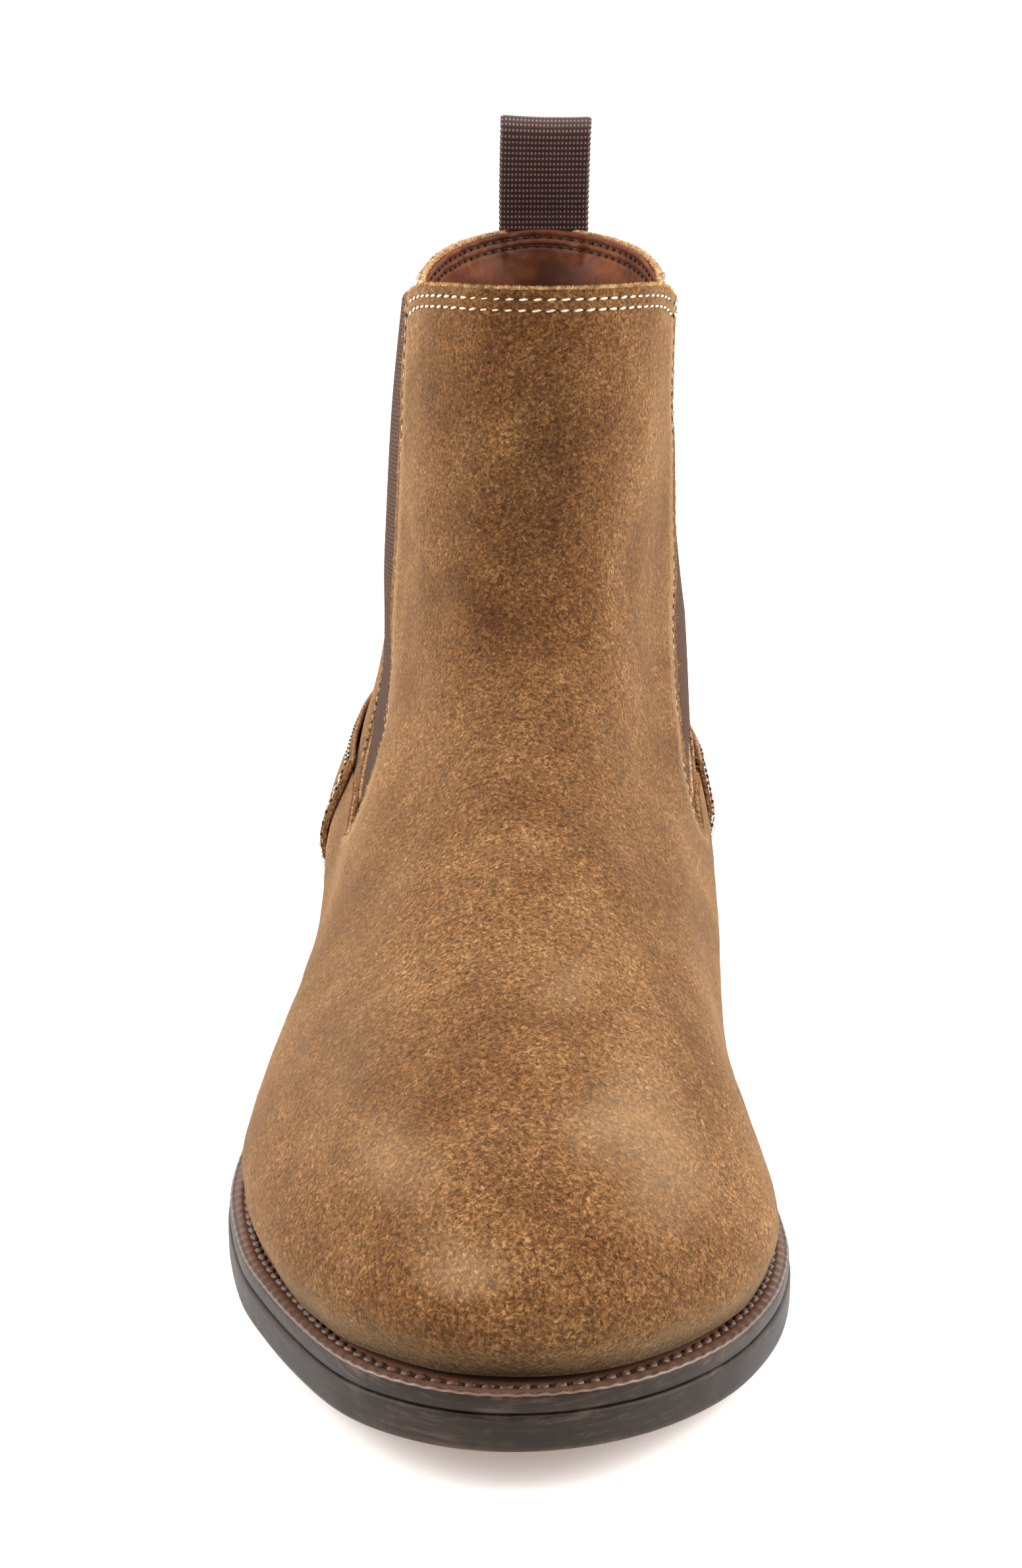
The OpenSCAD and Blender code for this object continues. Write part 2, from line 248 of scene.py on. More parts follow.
@dataclass(frozen=True)
class SmoothLeather(Finish):
    """Vegetable-tanned calf, plated smooth: a fine pebble of pores under a satin
    finish, darker in the pores and lighter where it is rubbed."""

    name: str = "calf_plated"
    deep: str = "46200c"
    body: str = "5c2d13"
    light: str = "6f3a1a"
    pore_mm: float = 0.9
    gloss: float = 0.55
    relief_mm: float = 0.12
    fine_mm: float = 2.2
    drift_mm: float = 14.0

    def paint(self, tree: Tree) -> Node:
        """Pores from cell noise, with a slow drift of colour and gloss."""
        place = object_place(tree)
        pores = add_node(tree, "TexVoronoi", {"Vector": place, "Scale": per_mm(self.pore_mm)},
                         feature="SMOOTH_F1")
        fine = noise(tree, place, self.fine_mm)
        drift = noise(tree, place, self.drift_mm, 3.0, 0.6, 0.5)
        tone = add_node(tree, "Math", {0: fine, 1: 0.35, 2: drift}, operation="MULTIPLY_ADD")
        colour = add_node(tree, "ValToRGB", {0: tone}, (
            (0.52, self.deep), (0.68, self.body), (0.84, self.light)))
        wear_and_shade = wear_and_shade_at(tree)
        worn = mix(tree, wear_and_shade, colour, linear(self.deep))
        height = add_node(tree, "Math", {0: fine, 1: 0.6, 2: pores}, operation="MULTIPLY_ADD")
        bump = add_node(tree, "Bump", {"Strength": 0.35, "Distance": self.relief_mm * MM,
                        "Height": height})
        shine = add_node(tree, "MapRange", {0: drift, "To Min": self.gloss - 0.08,
                         "To Max": self.gloss + 0.16})
        return add_node(tree, "BsdfPrincipled", {
            "Base Color": worn, "Normal": bump, "Roughness": shine,
            "Specular IOR Level": 0.2})


@dataclass(frozen=True)
class DressedEdge(Finish):
    """Sole leather whose edge is inked, waxed and burnished with a hot iron: near
    black and satin, with fine streaks along the edge and paler rubbed spots."""

    name: str = "edge_burnished"
    ink: str = "130f0d"
    streaked: str = "1f1815"
    rub: str = "3d332c"
    bare: str = "4a3424"
    gloss: float = 0.46
    streak_mm: float = 1.1
    rub_mm: float = 11.0

    def paint(self, tree: Tree) -> Node:
        """Streaks that run along the edge, rubbed spots, and bare arrises."""
        place = object_place(tree)
        along = add_node(tree, "Mapping", {"Vector": place, "Scale": (0.12, 0.12, 1.6)})
        streak = noise(tree, along, self.streak_mm, 4.0, 0.65, 0.3)
        rubbed = noise(tree, place, self.rub_mm, 4.0, 0.7, 0.8)
        mask = add_node(tree, "Math", {0: streak, 1: rubbed}, operation="MULTIPLY")
        colour = add_node(tree, "ValToRGB", {0: mask}, (
            (0.2, self.ink), (0.28, self.streaked), (0.4, self.rub)))
        wear_and_shade = wear_and_shade_at(tree)
        worn = mix(tree, wear_and_shade, colour, linear(self.bare))
        shine = add_node(tree, "MapRange", {0: streak, "To Min": self.gloss - 0.1,
                         "To Max": self.gloss + 0.2})
        bump = add_node(tree, "Bump", {"Strength": 0.35, "Distance": 0.15 * MM, "Height": streak})
        return add_node(tree, "BsdfPrincipled", {
            "Base Color": worn, "Normal": bump, "Roughness": shine,
            "Specular IOR Level": 0.28, "Specular Tint": linear("f2dcc8")})


@dataclass(frozen=True)
class Woven(Finish):
    """A narrow fabric whose yarns rise in turn: the float of each cell catches the
    light and the ground between lies dark. The cells follow the band's own
    millimetres, so they bend with it."""

    name: str = "woven_band"
    ground: str = "140a09"
    yarn: str = "28130f"
    float_dot: str = "85503f"
    across_mm: float = 0.96
    along_mm: float = 0.96
    skew: float = 0.0
    dot_from: float = 0.9
    rough: float = 0.55
    gloss: float = 0.3
    fibre_mm: float = 0.4

    def paint(self, tree: Tree) -> Node:
        """Two crossed sine waves make the cells; fine noise breaks them into fibres."""
        place = add_node(tree, "UVMap", uv_map="mm")
        axes = add_node(tree, "SeparateXYZ", {0: place})
        fibre = noise(tree, object_place(tree), self.fibre_mm, rough=0.6)
        x, y = (add_node(tree, "Math", {0: axes.outputs[k], 1: math.pi * per_mm(size)},
                         operation="MULTIPLY")
                for k, size in enumerate((self.across_mm, self.along_mm)))
        slant = add_node(tree, "Math", {0: x, 1: self.skew, 2: y}, operation="MULTIPLY_ADD")
        warp, weft = (add_node(tree, "Math", {0: add_node(tree, "Math", {0: phase}, operation="SINE")},
                               operation="ABSOLUTE") for phase in (x, slant))
        cell = add_node(tree, "Math", {0: warp, 1: weft}, operation="MULTIPLY")
        lit = add_node(tree, "Math", {0: fibre, 1: 0.35, 2: cell}, operation="MULTIPLY_ADD")
        colour = add_node(tree, "ValToRGB", {0: lit}, (
            (0.3, self.ground), (self.dot_from, self.yarn), (self.dot_from + 0.2, self.float_dot)))
        bump = add_node(tree, "Bump", {"Strength": 0.7, "Distance": 0.2 * MM, "Height": lit})
        return add_node(tree, "BsdfPrincipled", {
            "Base Color": colour, "Normal": bump, "Roughness": self.rough,
            "Specular IOR Level": self.gloss})


@dataclass(frozen=True)
class LitPaper(Finish):
    """Translucent white paper lit a little from below, so that its far part burns out
    to white while shadows stay soft and pale."""

    name: str = "studio_paper"
    white: str = "f2f2f1"
    glow: float = 0.16

    def paint(self, tree: Tree) -> Node:
        """A matt face with a weak glow of its own."""
        return add_node(tree, "BsdfPrincipled", {
            "Base Color": linear(self.white), "Roughness": 0.9, "Specular IOR Level": 0.1,
            "Emission Color": linear("ffffff"), "Emission Strength": self.glow})


class Paint(Enum):
    """Every finish of the boot, by the piece it is for."""

    SUEDE = Suede()
    EDGE = Flecked("suede_cut_edge", "3b2413", "8a5c36", "b98d5f")
    TOP_EDGE = Flecked("suede_topline_edge", "5a3c20", "a87c4c", "d2ad7a", 0.8)
    NAP = Flecked("suede_nap_fibre", "7a5930", "ab8653", "d8b98c", 2.0, 0.9, 0.02)
    LINING = SmoothLeather()
    SOCK = SmoothLeather("calf_sock", "3d2010", "6b4427", "85592f")
    WELT = SmoothLeather("welt_leather", "1f1610", "35271e", "4a392e", 1.1, 0.6, 0.1)
    DRESSED = DressedEdge()
    SOLE_FACE = SmoothLeather("sole_leather_buffed", "7a5430", "9b7046", "b3885a", 1.6, 0.6, 0.1)
    WEBBING_TAIL = Flecked("webbing_tail", "170b0a", "3c201b", "7a4a3a", 0.9, 0.6)
    WELT_ARRIS = Flecked("welt_arris_bare", "261c15", "3b2e23", "514134", 0.8, 0.6, 0.08)
    ELASTIC = Woven("elastic_web", "1b110d", "3f2c24", "6a5145", 0.7, 0.95, 0.9, 0.6, 0.95, 0.08)
    WEBBING = Woven(along_mm=1.3, across_mm=0.93)
    ECRU = Flecked("thread_ecru", "86745a", "c4b598", "dccfb6", 0.3, 0.6, 0.08, 0.0, 0.3)
    ECRU_WORN = Flecked("thread_ecru_worn", "5e4a34", "9c8460", "c4ad88", 0.5, 0.7, 0.08)
    BROWN = Flecked("thread_brown", "1c0e07", "35190c", "4e2a16", 0.4, 0.6, 0.08)
    WELT_THREAD = Flecked("thread_waxed_brown", "2a1810", "573a2a", "7a5641", 0.45, 0.45, 0.1)
    # Painted shade: a near-black body that stands for the shadowed pit of each needle or awl hole.
    HOLE_SHADE = Flecked("needle_hole_shade", "0c0704", "140b06", "1c1008", 0.5)
    RUBBER = Flecked("heel_rubber", "141110", "1c1817", "24201e", 0.8, 0.72, 0.1)
    CORK = Flecked("pressed_cork", "5f3a1d", "8d6237", "b98d5c", 1.6, 0.85, 0.4)
    BOARD = Flecked("leather_board", "9a7448", "b59166", "cfae7f", 0.9, 0.8, 0.1)
    FELT = Flecked("toe_puff_felt", "a8946c", "c2af86", "d8c8a4", 0.6)
    STEEL = Flecked("spring_steel", "7d8286", "94999d", "a9aeb2", 2.5, 0.35, 0.02, 1.0)
    BRASS = Flecked("nail_brass", "9a7a3a", "b5964c", "c7a658", 1.5, 0.35, 0.02, 1.0)
    FLOOR = LitPaper()

    def material(self) -> bpy.types.Material:
        """The Blender material of this finish."""
        return self.value.material()


def curve(stations: Array, values: Array, t: Array) -> Array:
    """Smooth curve through values at stations, as the CAD model draws it.

    Args:
        stations: Rising places of the values.
        values: One value, or one row of values, for each station.
        t: Places to read.

    Returns:
        The value at each place.
    """
    stations = np.asarray(stations, float)
    values = np.asarray(values, float)
    t = np.clip(np.asarray(t, float), stations[0], stations[-1])
    last = len(stations) - 1
    i = np.clip(np.searchsorted(stations, t, side="right") - 1, 0, last - 1)
    low, high = np.maximum(np.arange(last + 1) - 1, 0), np.minimum(np.arange(last + 1) + 1, last)
    slopes = (values[high] - values[low]) / (stations[high] - stations[low])
    h = stations[i + 1] - stations[i]
    s = (t - stations[i]) / h
    return (values[i] * (2 * s**3 - 3 * s**2 + 1) + values[i + 1] * (3 * s**2 - 2 * s**3)
            + slopes[i] * h * (s**3 - 2 * s**2 + s) + slopes[i + 1] * h * (s**3 - s**2))


def wander(points: Array, size_mm: float, seed: int) -> Array:
    """Slow smooth noise from a few fixed sine waves, from about -1 to 1.

    Args:
        points: Rows of x, y, z in millimetres.
        size_mm: Length of the waves.
        seed: Picks the waves' directions and phases.

    Returns:
        One value for each point.
    """
    rng = np.random.default_rng(seed)
    total = np.zeros(points.shape[:-1])
    for _ in range(7):
        way = rng.normal(size=3)
        way *= 2 * math.pi / (size_mm * rng.uniform(0.6, 1.6) * np.linalg.norm(way))
        total += np.sin(points @ way + rng.uniform(0, 2 * math.pi))
    return total / 3.5


@dataclass
class Last:
    """The shape the boot is lasted on, the same skin as the CAD model's. u runs round
    from the back seam by the outer side and the toe, v from the welt to the topline."""

    lean: float = 9.0
    tip_shift: float = 3.0
    bed: float = 10.5
    sole_back: float = 150.0
    sole_front: float = -152.0
    stations: tuple = (0, 0.2, 0.4, 0.55, 0.7, 0.85, 1)
    sections: tuple = ((146, 31.7, -147, 19.4, 1), (148, 43, -149, 30, 1),
                       (148.5, 54, -134, 45, 0.7), (146, 69, -92, 60, 0.3),
                       (140, 88, -43, 78, 0), (134, 113, -4, 104, 0),
                       (131, 143, 9, 138, 0), (134, 174, 14, 172, 0))
    shift: tuple = (0, 0, 0.1, 0.33, 0.56, 0.7, 0.84, 1)
    lateral: tuple = ((54, 42.5, 36, 43, 55, 57, 62), (55, 43, 38.5, 44.5, 54, 59, 60),
                      (51, 42, 41, 39, 45.5, 46, 44), (46, 39.5, 36.5, 34.5, 34.5, 33, 32),
                      (42, 36.5, 33.5, 30.5, 29.5, 27, 27), (38, 34, 33.5, 33, 29.8, 29.5, 30),
                      (34.5, 32, 32.7, 33, 31.6, 31.5, 32), (31, 29.5, 29.5, 31, 32.2, 33, 34.5))
    medial: tuple = ((54, 40.5, 31, 35.5, 50, 63, 66), (55, 42.5, 36.5, 41, 50, 64, 66),
                     (51, 42, 45.5, 44.5, 44, 51, 50), (46, 40, 41.5, 39.5, 37, 36, 36),
                     (42, 37, 37.5, 36.3, 31, 29, 29), (38, 34, 36, 34.6, 30.2, 29.5, 30),
                     (36, 32, 33.5, 33.2, 31.6, 31.5, 32), (34, 32, 31, 31.8, 32.2, 33, 34.5))
    sole_stations: tuple = (0, 0.05, 0.12, 0.2, 0.3, 0.4, 0.5, 0.6, 0.7, 0.8, 0.9, 1)
    sole_lateral: tuple = (58, 57, 53, 46.5, 41.5, 41, 45, 51.5, 58.5, 61, 60.5, 68)
    sole_medial: tuple = (58, 57, 52, 44.5, 38, 37, 41, 48.5, 55.5, 64, 68, 68)
    rise_y: tuple = (-152, -125, -98, -80, -55, -38, -5, 35, 75, 110, 150)
    rise_z: tuple = (8.7, 4.09, 1.04, 0, 0, 0.8, 5, 12, 17.43, 19.95, 21)
    edge_v: tuple = (0, 1, 2, 2.7, 3, 3.4, 4, 5, 6, 7)
    front_u: tuple = (0.200, 0.212, 0.230, 0.260, 0.271, 0.277, 0.279, 0.293, 0.310, 0.318)
    back_u: tuple = (0.198, 0.210, 0.228, 0.258, 0.2475, 0.2405, 0.231, 0.220, 0.211, 0.205)

    def underside(self, y: Array) -> Array:
        """Height of the outsole's underside above the floor."""
        return np.maximum(0, curve(self.rise_y, self.rise_z, y))

    def seat(self, y: Array) -> Array:
        """Height of the welt's top face."""
        return self.underside(y) + self.bed

    def section(self, row: int, u: Array) -> Array:
        """Points of one section of the upper."""
        f = (1 - np.cos(2 * np.pi * u)) / 2
        s = np.sin(2 * np.pi * u)
        back_y, back_z, front_y, front_z, bow = self.sections[row]
        outer = curve(self.stations, self.lateral[row], f)
        inner = curve(self.stations, self.medial[row], f)
        y = back_y + (front_y - back_y) * f
        ends = self.seat(np.array([back_y, front_y], float))
        z = back_z + (front_z - back_z) * f
        z = z + bow * (self.seat(y) - (ends[0] + (ends[1] - ends[0]) * f))
        x = (self.shift[row] * self.lean + self.tip_shift * f * f * bow
             - np.where(s >= 0, outer, inner) * s)
        return np.stack([x, y, z], -1)

    def skin(self, u: Array, v: Array) -> Array:
        """Points of the suede's face at u and v, which have the same shape."""
        u, v = np.asarray(u, float), np.clip(np.asarray(v, float), 0, 7)
        rows = np.stack([self.section(r, u) for r in range(8)])
        i = np.minimum(v.astype(int), 6)
        s = (v - i)[..., None]

        def row(k: Array) -> Array:
            """The section that each point is next to."""
            return np.take_along_axis(rows, np.clip(k, 0, 7)[None, ..., None], 0)[0]

        a, b, c, d = row(i - 1), row(i), row(i + 1), row(i + 2)
        m0 = (c - a) / np.where(i == 0, 1, 2)[..., None]
        m1 = (d - b) / np.where(i == 6, 1, 2)[..., None]
        return (b * (2 * s**3 - 3 * s**2 + 1) + c * (3 * s**2 - 2 * s**3)
                + m0 * (s**3 - 2 * s**2 + s) + m1 * (s**3 - s**2))

    def normal(self, u: Array, v: Array) -> Array:
        """Outward unit normals of the skin."""
        h = 0.004
        low, high = np.maximum(v - 0.05, 0), np.minimum(v + 0.05, 7)
        n = np.cross(self.skin(u + h, v) - self.skin(u - h, v), self.skin(u, high) - self.skin(u, low))
        return n / np.linalg.norm(n, axis=-1, keepdims=True)

    def below(self, u: Array, v: Array, depth: Array) -> Array:
        """Points at a depth below the suede's face."""
        return self.skin(u, v) - self.normal(u, v) * np.asarray(depth)[..., None]

    def outline(self, u: Array, inset: float) -> Array:
        """The sole's outline on the plan, pulled in by inset."""
        f = (1 - np.cos(2 * np.pi * u)) / 2
        s = np.sin(2 * np.pi * u)
        outer = curve(self.sole_stations, self.sole_lateral, f)
        inner = curve(self.sole_stations, self.sole_medial, f)
        half = np.where(s >= 0, outer, inner) - inset
        back, front = self.sole_back - inset, self.sole_front + inset
        return np.stack([self.tip_shift * f * f - half * s, back + (front - back) * f], -1)

    def foxing_top(self, u: Array) -> Array:
        """Height v of the foxing's top line."""
        t = np.clip(np.abs(u) / 0.25, 0, 1)
        return 2.65 + 0.93 * (1 + np.cos(np.pi * t)) / 2


def mesh_piece(name: str, points: Array, faces: Array, finishes: list[Paint],
               kinds: Array | None = None, uv: Array | None = None,
               wear_and_shade: Array | None = None) -> bpy.types.Object:
    """Makes one smooth-shaded object from points in millimetres.

    Args:
        name: The piece's name.
        points: Rows of x, y, z.
        faces: Rows of four point numbers; a triangle repeats its last number.
        finishes: The piece's finishes.
        kinds: Index into finishes for each face.
        uv: Millimetres across and along for each point.
        wear_and_shade: Darkening from 0 to 1 for each point, partly painted shade on the suede, or raised
            nap down to -1.

    Returns:
        The linked object.
    """
    faces = np.asarray(faces, int)
    used, faces = np.unique(faces, return_inverse=True)
    faces = faces.reshape(-1, 4)
    points = np.asarray(points)[used]
    triangle = faces[:, 2] == faces[:, 3]
    keep = np.ones(faces.shape, bool)
    keep[triangle, 3] = False
    loops = faces[keep]
    data = bpy.data.meshes.new(name)
    data.vertices.add(len(points))
    data.vertices.foreach_set("co", (points * MM).astype(np.float32).ravel())
    data.loops.add(len(loops))
    data.loops.foreach_set("vertex_index", loops.astype(np.int32))
    data.polygons.add(len(faces))
    starts = np.concatenate([[0], np.cumsum(np.where(triangle, 3, 4))[:-1]])
    data.polygons.foreach_set("loop_start", starts.astype(np.int32))
    data.update(calc_edges=True)
    for finish in finishes:
        data.materials.append(finish.material())
    if kinds is not None:
        data.polygons.foreach_set("material_index", np.asarray(kinds).astype(np.int32))
    if uv is not None:
        layer = data.uv_layers.new(name="mm")
        layer.data.foreach_set("uv", (np.asarray(uv)[used][loops] * MM).astype(np.float32).ravel())
    if wear_and_shade is not None:
        layer = data.attributes.new("wear_and_shade", "FLOAT", "POINT")
        layer.data.foreach_set("value", np.clip(wear_and_shade, -1, 1)[used].astype(np.float32))
    data.validate()
    data.shade_smooth()
    made = bpy.data.objects.new(name, data)
    bpy.context.scene.collection.objects.link(made)
    LOG.info("%s: %d points, %d faces", name, len(points), len(faces))
    return made


def grid_faces(n: int, m: int, round_i: bool = False) -> Array:
    """Quads of an n by m grid of points, facing out where i cross j points out.

    Args:
        n: Points along i.
        m: Points along j.
        round_i: Whether the last row along i joins the first.

    Returns:
        Rows of four point numbers.
    """
    i, j = np.meshgrid(np.arange(n if round_i else n - 1), np.arange(m - 1), indexing="ij")
    a, b = (i * m + j).ravel(), ((i + 1) % n * m + j).ravel()
    return np.stack([a, b, b + 1, a + 1], -1)


def bell(distance: Array, width: float) -> Array:
    """Smooth bump: 1 where distance is 0, falling to 0 over about two widths."""
    return np.exp(-((distance / width) ** 2))


@dataclass
class Sheet:
    """One closed sheet of material: two skins of the last's grid, trimmed to an
    outline and joined by a rounded rim."""

    last: Last
    name: str
    u: Array
    v: Array
    top: Array | float = 0.0
    thick: Array | float = 1.0
    inside: Array | None = None
    finishes: tuple[Paint, Paint, Paint] = (Paint.SUEDE, Paint.EDGE, Paint.EDGE)
    wear_and_shade: Array | None = None
    lip: float = 0.3

    def trim(self) -> Array:
        """Moves grid points next to the outline onto it.

        Returns:
            The kept quads.
        """
        n, m = self.u.shape
        quads = grid_faces(n, m)
        if self.inside is None:
            return quads
        kept = self.inside > 0.25  # Millimetres inside the outline.
        total, count = np.zeros((n, m, 2)), np.zeros((n, m))
        place = np.stack([self.u, self.v], -1)
        for di in (-1, 0, 1):
            for dj in (-1, 0, 1):
                here = (slice(max(0, -di), n - max(0, di)), slice(max(0, -dj), m - max(0, dj)))
                near = (slice(max(0, di), n + min(0, di)), slice(max(0, dj), m + min(0, dj)))
                pair = ~kept[here] & kept[near]
                t = self.inside[near] / np.maximum(self.inside[near] - self.inside[here], 1e-6)
                t = np.clip(t, 0, 1.4)[..., None]
                cross = place[near] * (1 - t) + place[here] * t
                total[here] += np.where(pair[..., None], cross, 0)
                count[here] += pair
        moved = count > 0
        place[moved] = total[moved] / count[moved][:, None]
        self.u, self.v = place[..., 0], place[..., 1]
        return quads[kept.ravel()[quads].any(1)]

    def millimetres(self, points: Array) -> Array:
        """Distances across and along the sheet for each grid point."""
        n, m = self.u.shape
        across = np.linalg.norm(np.diff(points[:, m // 2], axis=0), axis=-1)
        along = np.linalg.norm(np.diff(points[n // 2], axis=0), axis=-1)
        x, y = np.cumsum(across) - across.sum() / 2, np.cumsum(along)
        grid = np.meshgrid(np.append(x[0] - across[0], x), np.append(0, y), indexing="ij")
        return np.stack(grid, -1).reshape(-1, 2)

    def build(self) -> bpy.types.Object:
        """Builds the skins and the rim between them."""
        n, m = self.u.shape
        size = n * m
        quads = self.trim()
        way = np.concatenate([quads[:, [k, (k + 1) % 4]] for k in range(4)])
        code, back = way[:, 0] * size + way[:, 1], way[:, 1] * size + way[:, 0]
        rim = ~np.isin(code, back)
        a, b = way[rim].T
        cell = np.tile(np.arange(len(quads)), 4)[rim]
        edge = np.unique(np.concatenate([a, b]))
        lip = np.zeros(size)
        lip[edge] = self.lip
        top = np.broadcast_to(self.top, (n, m)).ravel()
        thick = np.broadcast_to(self.thick, (n, m)).ravel()
        u, v = self.u.ravel(), self.v.ravel()
        skin, normal = self.last.skin(u, v), self.last.normal(u, v)
        face = skin - normal * (top + lip)[:, None]
        back_face = skin - normal * (top + thick - lip)[:, None]
        middle = skin - normal * (top + thick / 2)[:, None]
        centre = middle[quads[cell]].mean(1)
        push = np.zeros((size, 3))
        np.add.at(push, a, middle[a] - centre)
        np.add.at(push, b, middle[b] - centre)
        push = push[edge] / (np.linalg.norm(push[edge], axis=-1, keepdims=True) + 1e-9)
        crown = middle[edge] + push * self.lip * 0.8
        number = np.zeros(size, int)
        number[edge] = 2 * size + np.arange(len(edge))
        upper = np.stack([b, a, number[a], number[b]], -1)
        lower = np.stack([number[b], number[a], a + size, b + size], -1)
        faces = np.concatenate([quads, quads[:, ::-1] + size, upper, lower])
        kinds = np.repeat([0, 1, 2], [len(quads), len(quads), 2 * len(a)])
        flat = self.millimetres(middle.reshape(n, m, 3))
        wear_and_shade = np.zeros(size) if self.wear_and_shade is None else np.asarray(self.wear_and_shade).ravel()
        return mesh_piece(self.name, np.concatenate([face, back_face, crown]), faces,
                          list(self.finishes), kinds, np.concatenate([flat, flat, flat[edge]]),
                          np.concatenate([wear_and_shade, wear_and_shade, wear_and_shade[edge]]))


@dataclass
class Seam:
    """A row of lockstitches along a line on the last: separate twisted lengths of
    thread that dip into a needle hole between them."""

    last: Last
    pitch: float = 2.9
    length: float = 2.2
    radius: float = 0.28
    lift: float = 0.02
    tilt: float = 0.12
    seed: int = 1
    thread: Paint = Paint.ECRU

    def loaves(self, centres: Array, ways: Array, normals: Array, size: tuple[float, float, float],
               tilt: float = 0.0) -> tuple[Array, Array]:
        """Rounded bodies at given places.

        Args:
            centres: Middle of each body.
            ways: Unit direction of each body's length.
            normals: Outward unit normals.
            size: Length, half width and half height.
            tilt: Mean turn about the normal, in radians.

        Returns:
            Points and faces.
        """
        rng = np.random.default_rng(self.seed)
        around, along = 10, 9
        count = len(centres)
        side = np.cross(normals, ways)
        turn = rng.normal(tilt, 0.07, count)[:, None]
        ways, side = (ways * np.cos(turn) + side * np.sin(turn),
                      side * np.cos(turn) - ways * np.sin(turn))
        t = np.linspace(-1, 1, along)
        angle = np.arange(around) * 2 * np.pi / around
        scale = rng.normal(1, 0.06, count)[:, None, None, None]
        swell = np.sqrt(np.clip(1 - np.abs(t) ** 2.6, 0, 1)) * 0.95 + 0.05
        ring = swell[:, None] * (1 + 0.12 * np.cos(2 * (angle[None] - 2.2 * t[:, None])))
        sag = (0.75 * size[2] * np.abs(t) ** 3)[None, :, None, None]
        points = (centres[:, None, None]
                  + ways[:, None, None] * (t * size[0] / 2)[None, :, None, None] * scale
                  + side[:, None, None] * (ring * np.cos(angle) * size[1])[None, ..., None]
                  + normals[:, None, None] * ((ring * np.sin(angle) * size[2])[None, ..., None] - sag))
        k, i, j = np.meshgrid(np.arange(count), np.arange(along - 1), np.arange(around), indexing="ij")
        a, b = (k * along + i) * around + j, (k * along + i) * around + (j + 1) % around
        faces = np.stack([a, b, b + around, a + around], -1).reshape(-1, 4)
        return points.reshape(-1, 3), faces

    def sew(self, name: str, lines: list[Array], depth: float | list[Array]) -> bpy.types.Object:
        """Builds one piece with all stitches along the lines.

        Args:
            name: The piece's name.
            lines: Each an array of u and v rows along a seam.
            depth: Depth of the sewn surface below the last's skin, or one row of depths
                for each line.

        Returns:
            The piece.
        """
        points, faces, kinds, total = [], [], [], 0
        for k, line in enumerate(lines):
            deep = depth[k] if isinstance(depth, list) else depth
            path = self.last.below(line[:, 0], line[:, 1], deep)
            normals = self.last.normal(line[:, 0], line[:, 1])
            run = np.append(0, np.cumsum(np.linalg.norm(np.diff(path, axis=0), axis=-1)))
            places = np.arange(self.pitch * 0.6, run[-1] - self.pitch * 0.4, self.pitch)

            def at(values: Array, where: Array) -> Array:
                """Rows read along the line at given millimetres."""
                return np.stack([np.interp(where, run, values[:, k]) for k in range(3)], -1)

            for hole in (0, 1):
                where = places + hole * self.pitch / 2
                centre, out = at(path, where), at(normals, where)
                way = at(path, where + 0.4) - at(path, where - 0.4)
                way -= out * np.sum(way * out, -1, keepdims=True)
                way /= np.linalg.norm(way, axis=-1, keepdims=True) + 1e-9
                # The hole bodies are painted shade: near-black loaves for the shadowed pits of the needle
                # holes.
                size = (1.0, 0.42, 0.3) if hole else (self.length, self.radius, self.radius * 0.85)
                rise = -0.14 if hole else self.lift
                made, quads = self.loaves(centre + out * rise, way, out, size, self.tilt)
                points.append(made)
                faces.append(quads + total)
                kinds.append(np.full(len(quads), hole))
                total += len(made)
        return mesh_piece(name, np.concatenate(points), np.concatenate(faces),
                          [self.thread, Paint.HOLE_SHADE], np.concatenate(kinds))


@dataclass
class Nap:
    """Loose fibres that stand out of a cut edge or lie on a napped face, each a
    curved, tapered blade of two segments."""

    length: float = 0.9
    width: float = 0.09
    spread: float = 0.55
    seed: int = 3

    def grow(self, name: str, roots: Array, ways: Array, bend: Array,
             paint: Paint = Paint.NAP) -> bpy.types.Object:
        """Builds one piece with a blade at each root.

        Args:
            name: The piece's name.
            roots: Where each blade stands.
            ways: Mean direction of each blade.
            bend: Direction that the tips lean to.
            paint: The fibres' finish.

        Returns:
            The piece.
        """
        rng = np.random.default_rng(self.seed)
        count = len(roots)
        ways = ways + rng.normal(0, self.spread, (count, 3))
        ways /= np.linalg.norm(ways, axis=-1, keepdims=True)
        side = np.cross(ways, rng.normal(size=(count, 3)))
        side /= np.linalg.norm(side, axis=-1, keepdims=True)
        long = self.length * rng.uniform(0.4, 1.3, count)[:, None]
        wide = self.width * rng.uniform(0.6, 1.3, count)[:, None]
        middle = roots + ways * long * 0.55 + bend * long * 0.08
        tip = roots + ways * long + bend * long * 0.45
        rows = [roots - side * wide, roots + side * wide, middle + side * wide * 0.7,
                middle - side * wide * 0.7, tip]
        points = np.stack(rows, 1).reshape(-1, 3)
        base = 5 * np.arange(count)[:, None]
        faces = np.concatenate([base + [0, 1, 2, 3], base + [3, 2, 4, 4]])
        return mesh_piece(name, points, faces, [paint])


